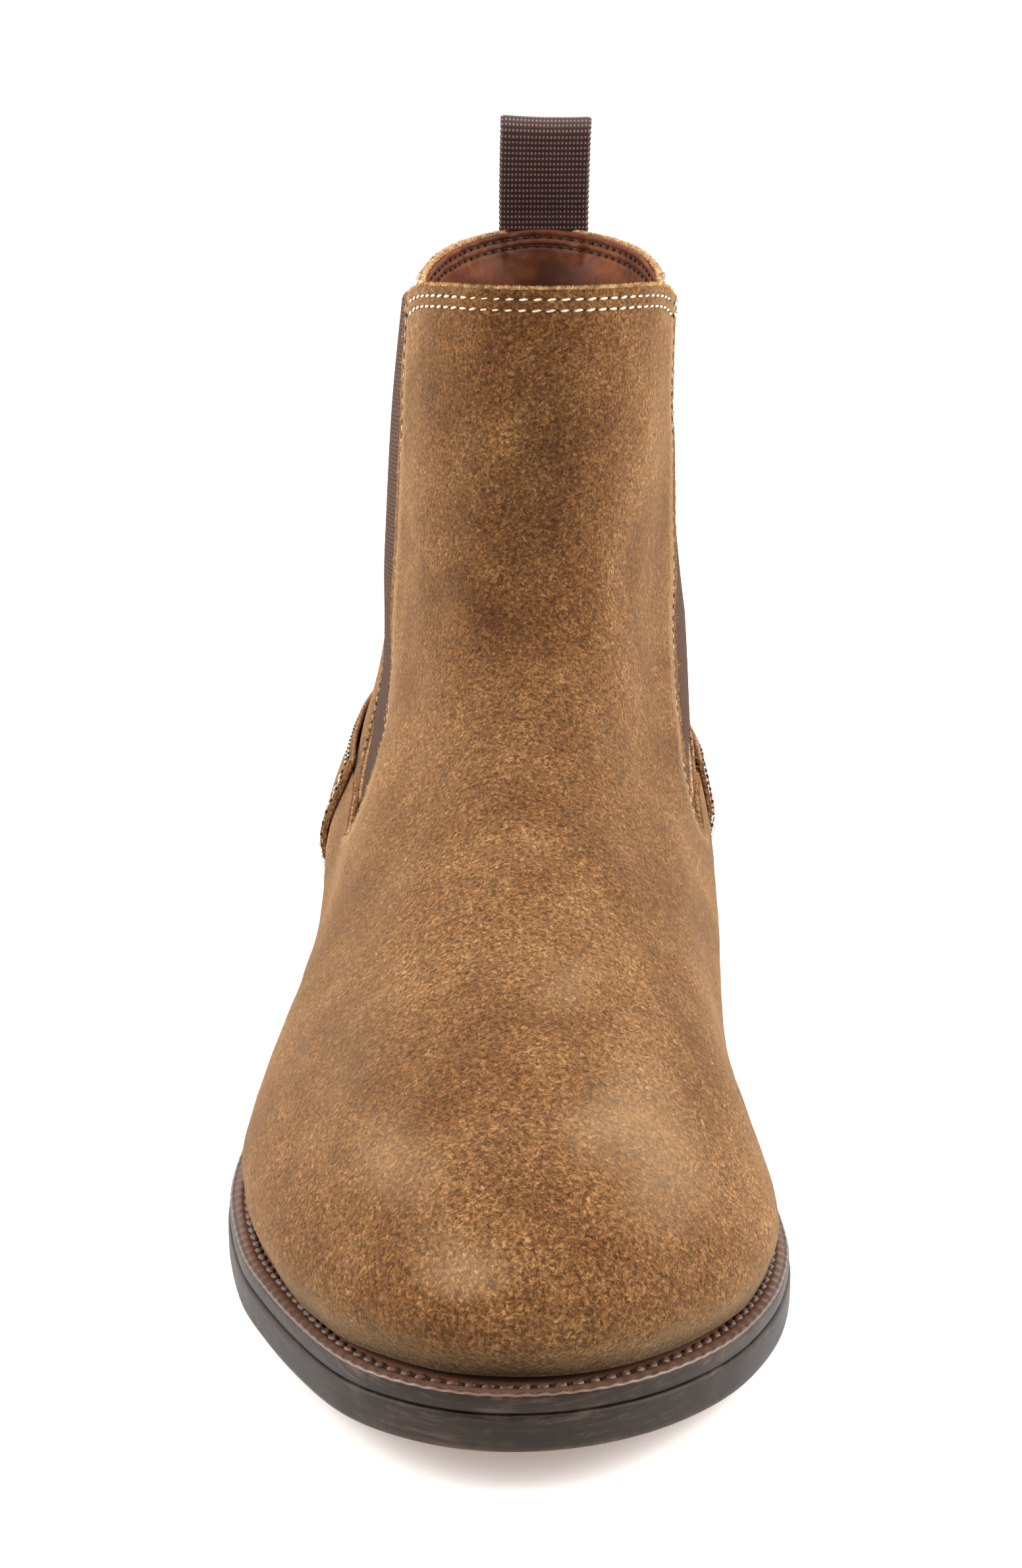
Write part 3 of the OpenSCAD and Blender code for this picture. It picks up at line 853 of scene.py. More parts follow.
@dataclass
class Upper:
    """The suede parts: vamp with a gore slot on each side, heel foxing over the side
    seams, and the back panel whose foot slides under the foxing."""

    last: Last
    vamp_t: float = 1.8
    panel_t: float = 1.6
    foxing_t: float = 1.4
    foxing_gap: float = 0.5
    slot_foot: float = 2.68
    slot_round: float = 0.09
    ear_top: float = 2.88
    foxing_side: float = 3.0
    foxing_back: float = 3.5
    hem_rows: tuple[float, float] = (2.0, 4.2)
    gore_row: float = 2.0
    foxing_u: float = 0.2405
    panel_u: float = 0.205
    foxing_half: float = 108.0
    # How far each slot's front edge is cut off the pattern, as shifts of u over v.
    shift_v: tuple = (2.6, 3.1, 3.5, 3.8, 4.1, 4.5, 5, 5.8, 6.4, 7)
    lateral_shift: tuple = (0.005, 0.007, 0.006, -0.001, -0.006, -0.005, -0.004, -0.005, -0.006, -0.006)
    medial_shift: tuple = (0.004, 0.004, 0.004, 0.002, 0, -0.007, -0.018, -0.021, -0.01, -0.006)
    # Marks of the brush and of painted shade: middle u and v, half sizes in u and v, and wear
    # as in mesh_piece. The dark marks on the shaft's front and at the toe's foot are painted shade.
    brushed: tuple = ((0.48, 5.8, 0.12, 1.3, 0.26), (0.52, 6.1, 0.05, 0.8, 0.14),
                      (0.46, 6.18, 0.014, 0.09, -0.24), (0.5, 0.5, 0.1, 0.6, 0.16),
                      (0.475, 1.4, 0.024, 0.3, -0.2), (0.43, 2.0, 0.03, 0.24, -0.12),
                      (0.55, 2.3, 0.03, 0.18, -0.14), (0.54, 3.06, 0.03, 0.14, -0.1),
                      (0.58, 1.95, 0.024, 0.5, -0.16), (0.36, 2.4, 0.04, 0.8, -0.05),
                      (0.5, 2.1, 0.03, 0.3, 0.1))

    def scale(self, u: Array, v: Array) -> tuple[Array, Array]:
        """Millimetres per unit of u and of v at places on the skin."""
        high = np.minimum(v + 0.01, 7)
        wide = np.linalg.norm(self.last.skin(u + 0.001, v) - self.last.skin(u - 0.001, v), axis=-1)
        tall = np.linalg.norm(self.last.skin(u, high) - self.last.skin(u, high - 0.02), axis=-1)
        return wide / 0.002, tall / 0.02

    def side(self, u: Array) -> Array:
        """Folds u to the outer side, so that both sides share one outline."""
        return np.minimum(u, 1 - u)

    def front_edge(self, v: Array, medial: bool | Array = False) -> Array:
        """Cut front edge of a slot as folded u over v; each side is cut a little off."""
        shift = np.where(medial, curve(self.shift_v, self.medial_shift, v),
                         curve(self.shift_v, self.lateral_shift, v))
        return curve(self.last.edge_v, self.last.front_u, v) + shift

    def slot(self, u: Array, v: Array) -> Array:
        """Distance in millimetres outside the gore's slot; negative in the slot."""
        front = self.front_edge(v, u > 0.5)
        u = self.side(u)
        wide, tall = self.scale(u, v)
        back = curve(self.last.edge_v, self.last.back_u, v)
        centre, half = (front + back) / 2, np.maximum(front - back, 0.006) / 2
        rise = np.clip((v - self.slot_foot) / self.slot_round, 0, 1)
        half = half * np.sqrt(rise * (2 - rise))
        beside = (np.abs(u - centre) - half) * wide
        below = np.hypot((u - centre) * wide, (self.slot_foot - v) * tall)
        return np.where(v > self.slot_foot, beside, below)

    def foxing_front(self, v: Array) -> Array:
        """Front edge of the foxing as u over v."""
        return curve((0, 1, 2, 2.5, 3, 3.5), (0.195, 0.206, 0.219, 0.2275, 0.2355, 0.2405), v)

    def foxing_line(self, u: Array) -> Array:
        """Top line of the foxing as v over u."""
        t = np.clip(np.abs(u) / self.foxing_u, 0, 1)
        rise = self.foxing_back + (self.foxing_side - self.foxing_back) * t
        return rise - 0.32 * np.sin(np.pi * t) ** 2

    def top_line(self, u: Array) -> Array:
        """Topline as v over u, rounded off beside the gores."""
        t = np.clip(np.abs(u - 0.5) / 0.182, 0, 1)
        front = 7 - 0.07 * t ** 2 - 0.1 * t ** 7
        t = np.clip(np.minimum(u % 1, -u % 1) / self.panel_u, 0, 1)
        back = 7 - 0.16 * t ** 1.7 - 0.08 * t ** 9
        return np.where(np.abs(u % 1 - 0.5) < 0.26, front, back)

    def relief(self, u: Array, v: Array, seed: int) -> Array:
        """Depth added by hand-worked unevenness of the leather, in millimetres."""
        points = self.last.skin(u, v)
        return 0.22 * wander(points, 32, seed) + 0.09 * wander(points, 12, seed + 1)

    def hem(self, u: Array, v: Array) -> Array:
        """Depth added by the two stitched rows below the topline."""
        _, tall = self.scale(u, v)
        drop = (self.top_line(u) - v) * tall
        rows = sum(bell(drop - row, 0.55) for row in self.hem_rows)
        return 0.34 * rows - 0.2 * bell(drop - 3.1, 0.7)

    def vamp(self) -> bpy.types.Object:
        """The vamp, from the welt to the topline."""
        n, low, high = 420, 190, 36
        share = np.concatenate([np.linspace(0, 0.965, low, endpoint=False),
                                np.linspace(0.965, 1, high)])
        u = np.linspace(0.186, 0.814, n)[:, None] + 0 * share
        v = share * self.top_line(u)
        slot = self.slot(u, v)
        side = self.side(u)
        wide, _ = self.scale(side, v)
        front = self.front_edge(v, u > 0.5)
        hidden = (side - self.foxing_front(np.minimum(v, 3.5)) + 0.012) * wide
        ear = np.where(v > self.ear_top, (side - front) * wide, hidden)
        inside = np.minimum(slot, ear)
        beyond = np.maximum(slot, 0)
        row = bell(beyond - self.gore_row, 0.6) * (v > self.slot_foot - 0.12) * (side > front - 0.004)
        depth = self.relief(u, v, 5) + self.hem(u, v) * (side > front) + 0.3 * row
        points = self.last.skin(u, v)
        above = points[..., 2] - self.last.seat(points[..., 1])
        # Darker towards the welt: painted shade where the upper meets the welt, with greasy nap.
        wear_and_shade = 0.85 * np.exp(-np.maximum(above - 1.0, 0) / 4.5)
        wear_and_shade -= 0.16 * bell(beyond - 4.2, 1.6) * (side > front - 0.004)
        # The large dark marks on the shaft's front and at the toe's foot are painted shade; the light
        # marks are raised nap.
        for at_u, at_v, half_u, half_v, dark in self.brushed:
            wear_and_shade += dark * np.exp(-((u - at_u) / half_u) ** 2 - ((v - at_v) / half_v) ** 2)
        return Sheet(self.last, "vamp_suede", u, v, depth, self.vamp_t, inside, wear_and_shade=wear_and_shade).build()

    def back_panel(self) -> bpy.types.Object:
        """The back panel, from under the foxing to the topline."""
        n, low, high = 260, 84, 36
        share = np.concatenate([np.linspace(0, 0.93, low, endpoint=False),
                                np.linspace(0.93, 1, high)])
        t = np.linspace(-1, 1, n)[:, None]
        foot = self.foxing_line(self.foxing_u * t) - 0.45 + 0.3 * np.abs(t) ** 3
        v = foot + (self.top_line(self.panel_u * t) - foot) * share
        u = t * curve(self.last.edge_v, self.last.back_u, v)
        depth = np.maximum(self.relief(u, v, 9), 0.05) + self.hem(u, v)
        edge = (1 - np.abs(t)) * np.abs(curve(self.last.edge_v, self.last.back_u, v))
        wide, _ = self.scale(np.abs(u), v)
        depth = depth + 0.25 * bell(edge * wide - self.gore_row, 0.6) + 0.7 * bell(edge * wide, 6)
        depth = depth + 0.6 * np.clip((self.foxing_line(u) + 0.1 - v) / 0.4, 0, 1)
        return Sheet(self.last, "back_panel_suede", u, v, depth, self.panel_t,
                     finishes=(Paint.SUEDE, Paint.EDGE, Paint.TOP_EDGE)).build()

    def foxing(self) -> bpy.types.Object:
        """The heel foxing, laid over the side seams."""
        n, m = 300, 84
        t = np.linspace(-1, 1, n)[:, None]
        v = np.linspace(0, 1, m) * self.foxing_line(self.foxing_u * t)
        u = t * self.foxing_front(v)
        points = self.last.skin(u, v)
        above = points[..., 2] - self.last.seat(points[..., 1])
        # Darker towards the welt: painted shade where the foxing meets the welt, with greasy nap.
        wear_and_shade = 0.75 * np.exp(-np.maximum(above - 1.0, 0) / 3.5)
        settle = bell((1 - np.abs(t)) * self.foxing_half, 9) * 0.5
        depth = -self.foxing_gap - self.foxing_t + settle + 0.6 * self.relief(u, v, 13)
        return Sheet(self.last, "heel_foxing_suede", u, v, depth, self.foxing_t, wear_and_shade=wear_and_shade).build()

    def gore_line(self, offset: float, foot: float, head: float, front: bool = True,
                  medial: bool = False) -> Array:
        """Line beside a gore's edge, from its foot up.

        Args:
            offset: Millimetres from the edge.
            foot: Lowest v.
            head: Highest v.
            front: Whether it follows the front edge or the back edge.
            medial: Whether a front edge is the inner side's.

        Returns:
            Rows of u and v.
        """
        v = np.linspace(foot, head, 90)
        edge = self.front_edge(v, medial) if front else curve(self.last.edge_v, self.last.back_u, v)
        wide, _ = self.scale(edge, v)
        u = edge + (offset if front else -offset) / wide
        return np.stack([1 - u if medial else u, v], -1)

    def front_rows(self) -> list[Array]:
        """The two stitch lines below the front topline."""
        lines = []
        u = np.linspace(0.325, 0.675, 120)
        for row, drop in enumerate(self.hem_rows):
            _, tall = self.scale(u, self.top_line(u))
            v = self.top_line(u) - drop / tall
            if row:
                v = v - 0.02 * np.clip((np.abs(u - 0.5) - 0.15) / 0.025, 0, 1) ** 2
            lines.append(np.stack([u, v], -1))
        return lines

    def slot_rows(self) -> list[Array]:
        """Stitch lines down the front edges of the slots and round their feet."""
        lines = [self.gore_line(self.gore_row, self.slot_foot + 0.1, 6.8, medial=medial)
                 for medial in (False, True)]
        turn = np.linspace(-0.1, 1.15, 40) * np.pi
        centre = 0.259  # Middle of the slot's foot.
        wide, tall = self.scale(np.array([centre]), np.array([self.slot_foot]))
        for radius in (self.gore_row + 1.4, self.gore_row + 3.4):
            u = centre + radius * np.cos(turn) / wide
            v = self.slot_foot + 0.03 - radius * np.sin(turn) / tall
            bend = np.stack([u, v], -1)
            lines += [bend, bend * [-1, 1] + [1, 0]]
        return lines

    def back_rows(self) -> list[Array]:
        """Stitch lines of the back panel."""
        lines = []
        u = np.linspace(-0.198, 0.198, 120)
        for drop in self.hem_rows:
            _, tall = self.scale(u, self.top_line(u))
            lines.append(np.stack([u, self.top_line(u) - drop / tall], -1))
        down = self.gore_line(self.gore_row, self.foxing_side + 0.1, 6.7, front=False)
        return lines + [down, down * [-1, 1]]

    def foxing_rows(self) -> list[Array]:
        """Two stitch lines inside the foxing's top and front edges."""
        lines = []
        for inset in (2.0, 4.6):
            v = np.linspace(0.12, 2.82, 90)
            wide, _ = self.scale(self.foxing_front(v), v)
            front = np.stack([self.foxing_front(v) - inset / wide, v], -1)
            u = np.linspace(-0.23, 0.23, 160)
            _, tall = self.scale(u, self.foxing_line(u))
            lines += [front, front * [-1, 1], np.stack([u, self.foxing_line(u) - inset / tall], -1)]
        return lines

    def edge_roots(self, line: Array, depth: tuple[float, float], count: int,
                   seed: int) -> tuple[Array, Array, Array]:
        """Random places on a cut edge.

        Args:
            line: Rows of u and v along the edge.
            depth: Depths of the two sides of the edge.
            count: How many places.
            seed: Seed of the draws.

        Returns:
            Places, the skin's normals, and directions along the edge.
        """
        rng = np.random.default_rng(seed)
        where = rng.uniform(0, len(line) - 1.001, count)
        step = np.arange(len(line))
        u, v = np.interp(where, step, line[:, 0]), np.interp(where, step, line[:, 1])
        roots = self.last.below(u, v, rng.uniform(*depth, count))
        ahead = np.minimum(where + 0.5, len(line) - 1)
        there = self.last.skin(np.interp(ahead, step, line[:, 0]), np.interp(ahead, step, line[:, 1]))
        along = there - self.last.skin(u, v)
        along /= np.linalg.norm(along, axis=-1, keepdims=True) + 1e-9
        return roots, self.last.normal(u, v), along

    def fuzz(self, name: str, lines: list[tuple[Array, float]], depth: tuple[float, float],
             per_line: int, nap: Nap, paint: Paint = Paint.NAP) -> bpy.types.Object:
        """Fibres along cut edges.

        Args:
            name: The piece's name.
            lines: Edge lines, each with the sign that turns along x normal outward.
            depth: Depths of the two sides of the edge.
            per_line: Fibres on each line.
            nap: The fibres' size.
            paint: Their finish.

        Returns:
            The piece.
        """
        roots, ways, bends = [], [], []
        for k, (line, sign) in enumerate(lines):
            root, normal, along = self.edge_roots(line, depth, per_line, nap.seed + k)
            roots.append(root)
            ways.append(sign * np.cross(along, normal) + 0.35 * normal)
            bends.append(0.5 * normal + 0.3 * along)
        return nap.grow(name, np.concatenate(roots), np.concatenate(ways), np.concatenate(bends),
                        paint)

    def build(self) -> None:
        """Builds the suede parts with their seams and loose fibres."""
        last = self.last
        vamp = self.vamp()
        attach(vamp, "boot")
        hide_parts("vamp")
        foxing = self.foxing()
        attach(foxing, "boot")
        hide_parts("heel_foxing")
        panel = self.back_panel()
        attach(panel, "shaft_back")
        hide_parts("back_panel")
        sunk = Seam(last, length=1.8, radius=0.25, lift=-0.04, seed=14, thread=Paint.ECRU_WORN)
        seams = [(Seam(last, seed=11).sew("front_hem_stitches", self.front_rows(), 0.3), "boot"),
                 (sunk.sew("gore_slot_stitches", self.slot_rows(), 0.3), "boot"),
                 (Seam(last, seed=12).sew("back_hem_stitches", self.back_rows()[:2], 0.3),
                  "shaft_back"),
                 (sunk.sew("gore_back_stitches", self.back_rows()[2:], 0.55), "shaft_back"),
                 (Seam(last, length=2.0, radius=0.26, lift=-0.04, seed=13).sew(
                     "foxing_stitches", self.foxing_rows(), -self.foxing_gap - self.foxing_t), "boot")]
        u = np.linspace(0.322, 0.678, 200)
        crest = np.stack([u, self.top_line(u)], -1)
        lateral, medial = (self.gore_line(0, self.slot_foot + 0.1, 6.84, medial=side)
                           for side in (False, True))
        rear = self.gore_line(0, self.ear_top, 6.74, front=False)
        back = np.stack([(u - 0.5) * 1.14, self.top_line((u - 0.5) * 1.14)], -1)
        v = np.linspace(0.1, 2.98, 100)
        front_edge = np.stack([self.foxing_front(v), v], -1)
        fringe = Nap(0.85, 0.055, 0.5, 21)
        short = Nap(0.6, 0.05, 0.6, 31)
        top_depth, edge_depth = (0.1, self.vamp_t - 0.1), (0.0, self.vamp_t)
        fox_depth = (-self.foxing_gap - self.foxing_t, -self.foxing_gap)
        fibres = [(self.fuzz("front_topline_fibres", [(crest, -1)], top_depth, 7000, fringe), "boot"),
                  (self.fuzz("gore_edge_fibres", [(lateral, 1), (medial, -1)],
                             edge_depth, 3500, fringe), "boot"),
                  (self.fuzz("back_topline_fibres", [(back, -1)], top_depth, 7000, short), "shaft_back"),
                  (self.fuzz("gore_back_edge_fibres", [(rear, -1), (rear * [-1, 1], 1)],
                             edge_depth, 2600, fringe, Paint.EDGE), "shaft_back"),
                  (self.fuzz("foxing_edge_fibres", [(front_edge, 1), (front_edge * [-1, 1], -1)],
                             fox_depth, 3000, short, Paint.EDGE), "boot")]
        for piece, body in seams + fibres:
            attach(piece, body)
            "suede" if "fibres" in piece.name else "webbing"


@dataclass
class Gores:
    """The elastic gores, sewn behind the slot's edges. Their front edges belong to the
    vamp and their back edges to the back panel."""

    upper: Upper
    depth: float = 2.15
    thick: float = 1.0
    margin: float = 0.012

    def gore(self, name: str, outer_side: bool) -> bpy.types.Object:
        """One gore.

        Args:
            name: The piece's name.
            The piece.

        Returns:
            The piece, before it is blended.
        """
        last = self.upper.last
        v = np.linspace(2.74, 6.76, 200)
        back = curve(last.edge_v, last.back_u, v) - self.margin
        front = curve(last.edge_v, last.front_u, v) + self.margin
        share = np.linspace(0, 1, 70)[:, None]
        u = back + (front - back) * share
        v = v + 0 * u
        swell = (1.5 + 1.1 * bell(v - 4.2, 0.8)) * np.clip((v - 2.8) / 0.8, 0, 1)
        if not outer_side:
            swell = swell * (0.3 + 0.7 * np.clip((5.3 - v) / 0.8, 0, 1))
        rise = -swell * np.sin(np.pi * share) ** 0.6
        if not outer_side:
            u, v, rise = (1 - u)[::-1], v[::-1], rise[::-1]
        return Sheet(last, name, u, v, self.depth + rise, self.thick,
                     finishes=(Paint.ELASTIC,) * 3, lip=0.2).build()

    def build(self) -> None:
        """Builds both gores in place of their CAD nodes."""
        last = self.upper.last
        for name, node, side in (("elastic_gore_lateral", "gore_lateral", True),
                                 ("elastic_gore_medial", "gore_medial", False)):
            piece = self.gore(name, side)
            v = np.array([6.5])
            front = last.skin(curve(last.edge_v, last.front_u, v), v)[0] * MM
            back = last.skin(curve(last.edge_v, last.back_u, v), v)[0] * MM
            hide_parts(node)
            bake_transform(piece)


@dataclass
class Linings:
    """Calf linings, which close up to the suede along the topline and bulge over the
    sewn-in tail of the webbing."""

    upper: Upper
    depth: float = 3.45
    thick: float = 1.0
    top_depth: float = 1.85
    tab_centre: float = 1.4
    tab_half: float = 11.5

    def depths(self, u: Array, v: Array, tail: bool) -> Array:
        """Depth of the lining's hidden face.

        Args:
            u: Places round the last.
            v: Places up the last.
            tail: Whether the webbing's tail lies under it.

        Returns:
            Millimetres below the suede's face.
        """
        _, tall = self.upper.scale(u, v)
        drop = (self.upper.top_line(u) - v) * tall
        close = 1 / (1 + np.exp((drop - 8) / 1.6))
        depth = self.depth + (self.top_depth - self.depth) * close
        if tail:
            x = self.upper.last.skin(u, v)[..., 0] - self.upper.last.lean - self.tab_centre
            over = 1 / (1 + np.exp((np.abs(x) - self.tab_half) / 0.35))
            depth = depth + np.maximum(3.1 - depth, 0) * over
        depth = depth - 0.5 * sum(bell(drop - row, 0.55) for row in self.upper.hem_rows)
        pucker = 0.2 * wander(self.upper.last.skin(u, v), 5, 17) * bell(drop - 3.5, 4)
        return depth + pucker

    def build(self) -> None:
        """Builds the vamp lining and the back lining."""
        last, upper = self.upper.last, self.upper
        share = np.concatenate([np.linspace(0, 0.93, 70, endpoint=False), np.linspace(0.93, 0.997, 40)])
        t = np.linspace(0, 1, 200)[:, None]
        v = 0.02 + (upper.top_line(0.318 + 0.364 * t) - 0.02) * share
        edge = curve(last.edge_v, last.front_u, v)
        u = edge + (1 - 2 * edge) * t
        finishes = (Paint.LINING,) * 3
        front = Sheet(last, "vamp_lining_calf", u, v, self.depths(u, v, False), self.thick,
                      finishes=finishes).build()
        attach(front, "boot")
        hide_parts("vamp_lining")
        t = np.linspace(-1, 1, 240)[:, None]
        foot = last.foxing_top(0.25 * t) - 0.4 * (1 - 0.4 * np.abs(t))
        v = foot + (upper.top_line(upper.panel_u * t) - foot) * share
        u = t * curve(last.edge_v, last.back_u, v)
        back = Sheet(last, "back_lining_calf", u, v, self.depths(u, v, True), self.thick,
                     finishes=finishes).build()
        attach(back, "shaft_back")
        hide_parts("back_lining")
        rows = upper.back_rows()[:2]
        deep = [self.depths(row[:, 0], row[:, 1], True) + self.thick for row in rows]
        thread = Seam(last, length=1.9, radius=0.26, lift=-0.02, seed=61, thread=Paint.BROWN).sew(
            "back_lining_stitches", rows, deep)
        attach(thread, "shaft_back")


@dataclass
class PullTab:
    """The pull tab: one strip of webbing folded into a loop whose two plies part
    towards the top. It stands on its fold line."""

    fold: tuple[float, float, float] = (10.4, 131.6, 175.8)
    width: float = 22.0
    height: float = 25.5
    ply: float = 1.3
    gap: float = 6.2
    foot: float = 2.5
    cell_across: float = 0.93
    cell_along: float = 1.3
    relief: float = 0.07

    def centreline(self, steps: int) -> tuple[Array, Array]:
        """Middle of the strip in side view, from the inner ply over the top and down.

        Args:
            steps: Points along it.

        Returns:
            Rows of y and z from the fold line, and millimetres run.
        """
        top = self.height - self.ply - self.gap / 2
        wide, tight = (self.gap + self.ply) / 2, 0.15 + self.ply / 2
        lean = math.asin((wide - tight) / (top - self.foot))
        arc = np.linspace(math.pi + lean, -lean, 60)
        crown = np.stack([wide * np.cos(arc), top + wide * np.sin(arc)], -1)
        low = np.array([[tight * math.cos(lean), self.foot - tight * math.sin(lean)],
                        [self.ply / 2 + 0.02, -3.0]])
        path = np.concatenate([low[::-1] * [-1, 1], crown, low])
        run = np.append(0, np.cumsum(np.linalg.norm(np.diff(path, axis=0), axis=-1)))
        where = np.linspace(0, run[-1], steps)
        line = np.stack([np.interp(where, run, path[:, k]) for k in (0, 1)], -1)
        for _ in range(3):
            line[1:-1] = (line[:-2] + 2 * line[1:-1] + line[2:]) / 4
        return line, where

    def build(self) -> None:
        """Builds the woven loop."""
        steps, across = 320, 180
        line, run = self.centreline(steps)
        way = np.gradient(line, axis=0)
        way /= np.linalg.norm(way, axis=-1, keepdims=True)
        out = np.stack([-way[:, 1], way[:, 0]], -1)
        x = np.linspace(-1, 1, across) * self.width / 2
        selvedge = 1 - 0.5 * np.clip((np.abs(x) - self.width / 2 + 1.1) / 1.1, 0, 1) ** 2
        weave = (np.abs(np.sin(np.pi * x / self.cell_across))[None]
                 * np.abs(np.sin(np.pi * run / self.cell_along))[:, None])
        half = (self.ply / 2 - self.relief + 0.1) * selvedge + self.relief * (weave - 0.3)
        faces_out = [half, -half[:, ::-1]]
        xs = np.concatenate([x, x[::-1]])
        offset = np.concatenate(faces_out, 1)
        scallop = 0.16 * np.sin(2 * np.pi * run / self.cell_along)[:, None]
        edge = np.sign(xs) * (np.abs(xs) > self.width / 2 - 0.2)
        yz = line[:, None] + out[:, None] * offset[..., None]
        rise = np.clip(yz[..., 1] / self.height, 0, 1)
        px = self.fold[0] + xs + edge * scallop * 0.7 + 0.5 * rise ** 2
        dip = 0.35 * (1 - (xs / self.width * 2) ** 2) + 0.022 * xs
        bow = 0.25 * np.sin(xs / self.width * np.pi) * rise
        points = np.stack([px + 0 * rise, self.fold[1] + yz[..., 0] + bow,
                           self.fold[2] + yz[..., 1] - dip * rise ** 3], -1)
        count = 2 * across
        faces = grid_faces(count, steps, True)
        points = points.transpose(1, 0, 2).reshape(-1, 3)
        j = np.arange(across - 1)
        cap = np.stack([j, j + 1, count - 2 - j, count - 1 - j], -1) * steps
        faces = np.concatenate([faces[:, ::-1], cap, cap[:, ::-1] + steps - 1])
        uv = np.stack(np.broadcast_arrays(xs[:, None], run), -1).reshape(-1, 2)
        piece = mesh_piece("pull_tab_webbing", points, faces, [Paint.WEBBING], uv=uv)
        x, y, z = self.fold
        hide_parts("pull_tab")
        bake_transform(piece)


@dataclass
class Layer:
    """One layer of the bottom: loops round the boot from its underside to its top."""

    name: str
    loops: Array
    finishes: tuple[Paint, ...]
    kinds: Array
    wear_and_shade: Array
    ring: bool = False

    def build(self, node: str) -> bpy.types.Object:
        """Builds the layer in place of a CAD node.

        Args:
            node: The CAD node it stands for.

        Returns:
            The piece.
        """
        rows, around, _ = self.loops.shape
        points = self.loops.transpose(1, 0, 2).reshape(-1, 3)
        walls = grid_faces(around, rows, True)
        kinds = np.tile(self.kinds[:rows - 1], around)
        if self.ring:
            i = np.arange(around)
            close = np.stack([i * rows + rows - 1, (i + 1) % around * rows + rows - 1,
                              (i + 1) % around * rows, i * rows], -1)
            faces = np.concatenate([walls, close])
            kinds = np.append(kinds, np.full(around, self.kinds[-1]))
        else:
            k = np.arange(around // 2 - 1)
            cap = np.stack([k, k + 1, around - 2 - k, around - 1 - k], -1) * rows
            faces = np.concatenate([walls, cap[:, ::-1], cap + rows - 1])
            kinds = np.concatenate([kinds, np.full(len(k), self.kinds[0]),
                                    np.full(len(k), self.kinds[-1])])
        piece = mesh_piece(self.name, points, faces, list(self.finishes), kinds,
                           wear_and_shade=np.tile(self.wear_and_shade, around))
        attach(piece, "boot")
        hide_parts(node)
        return piece


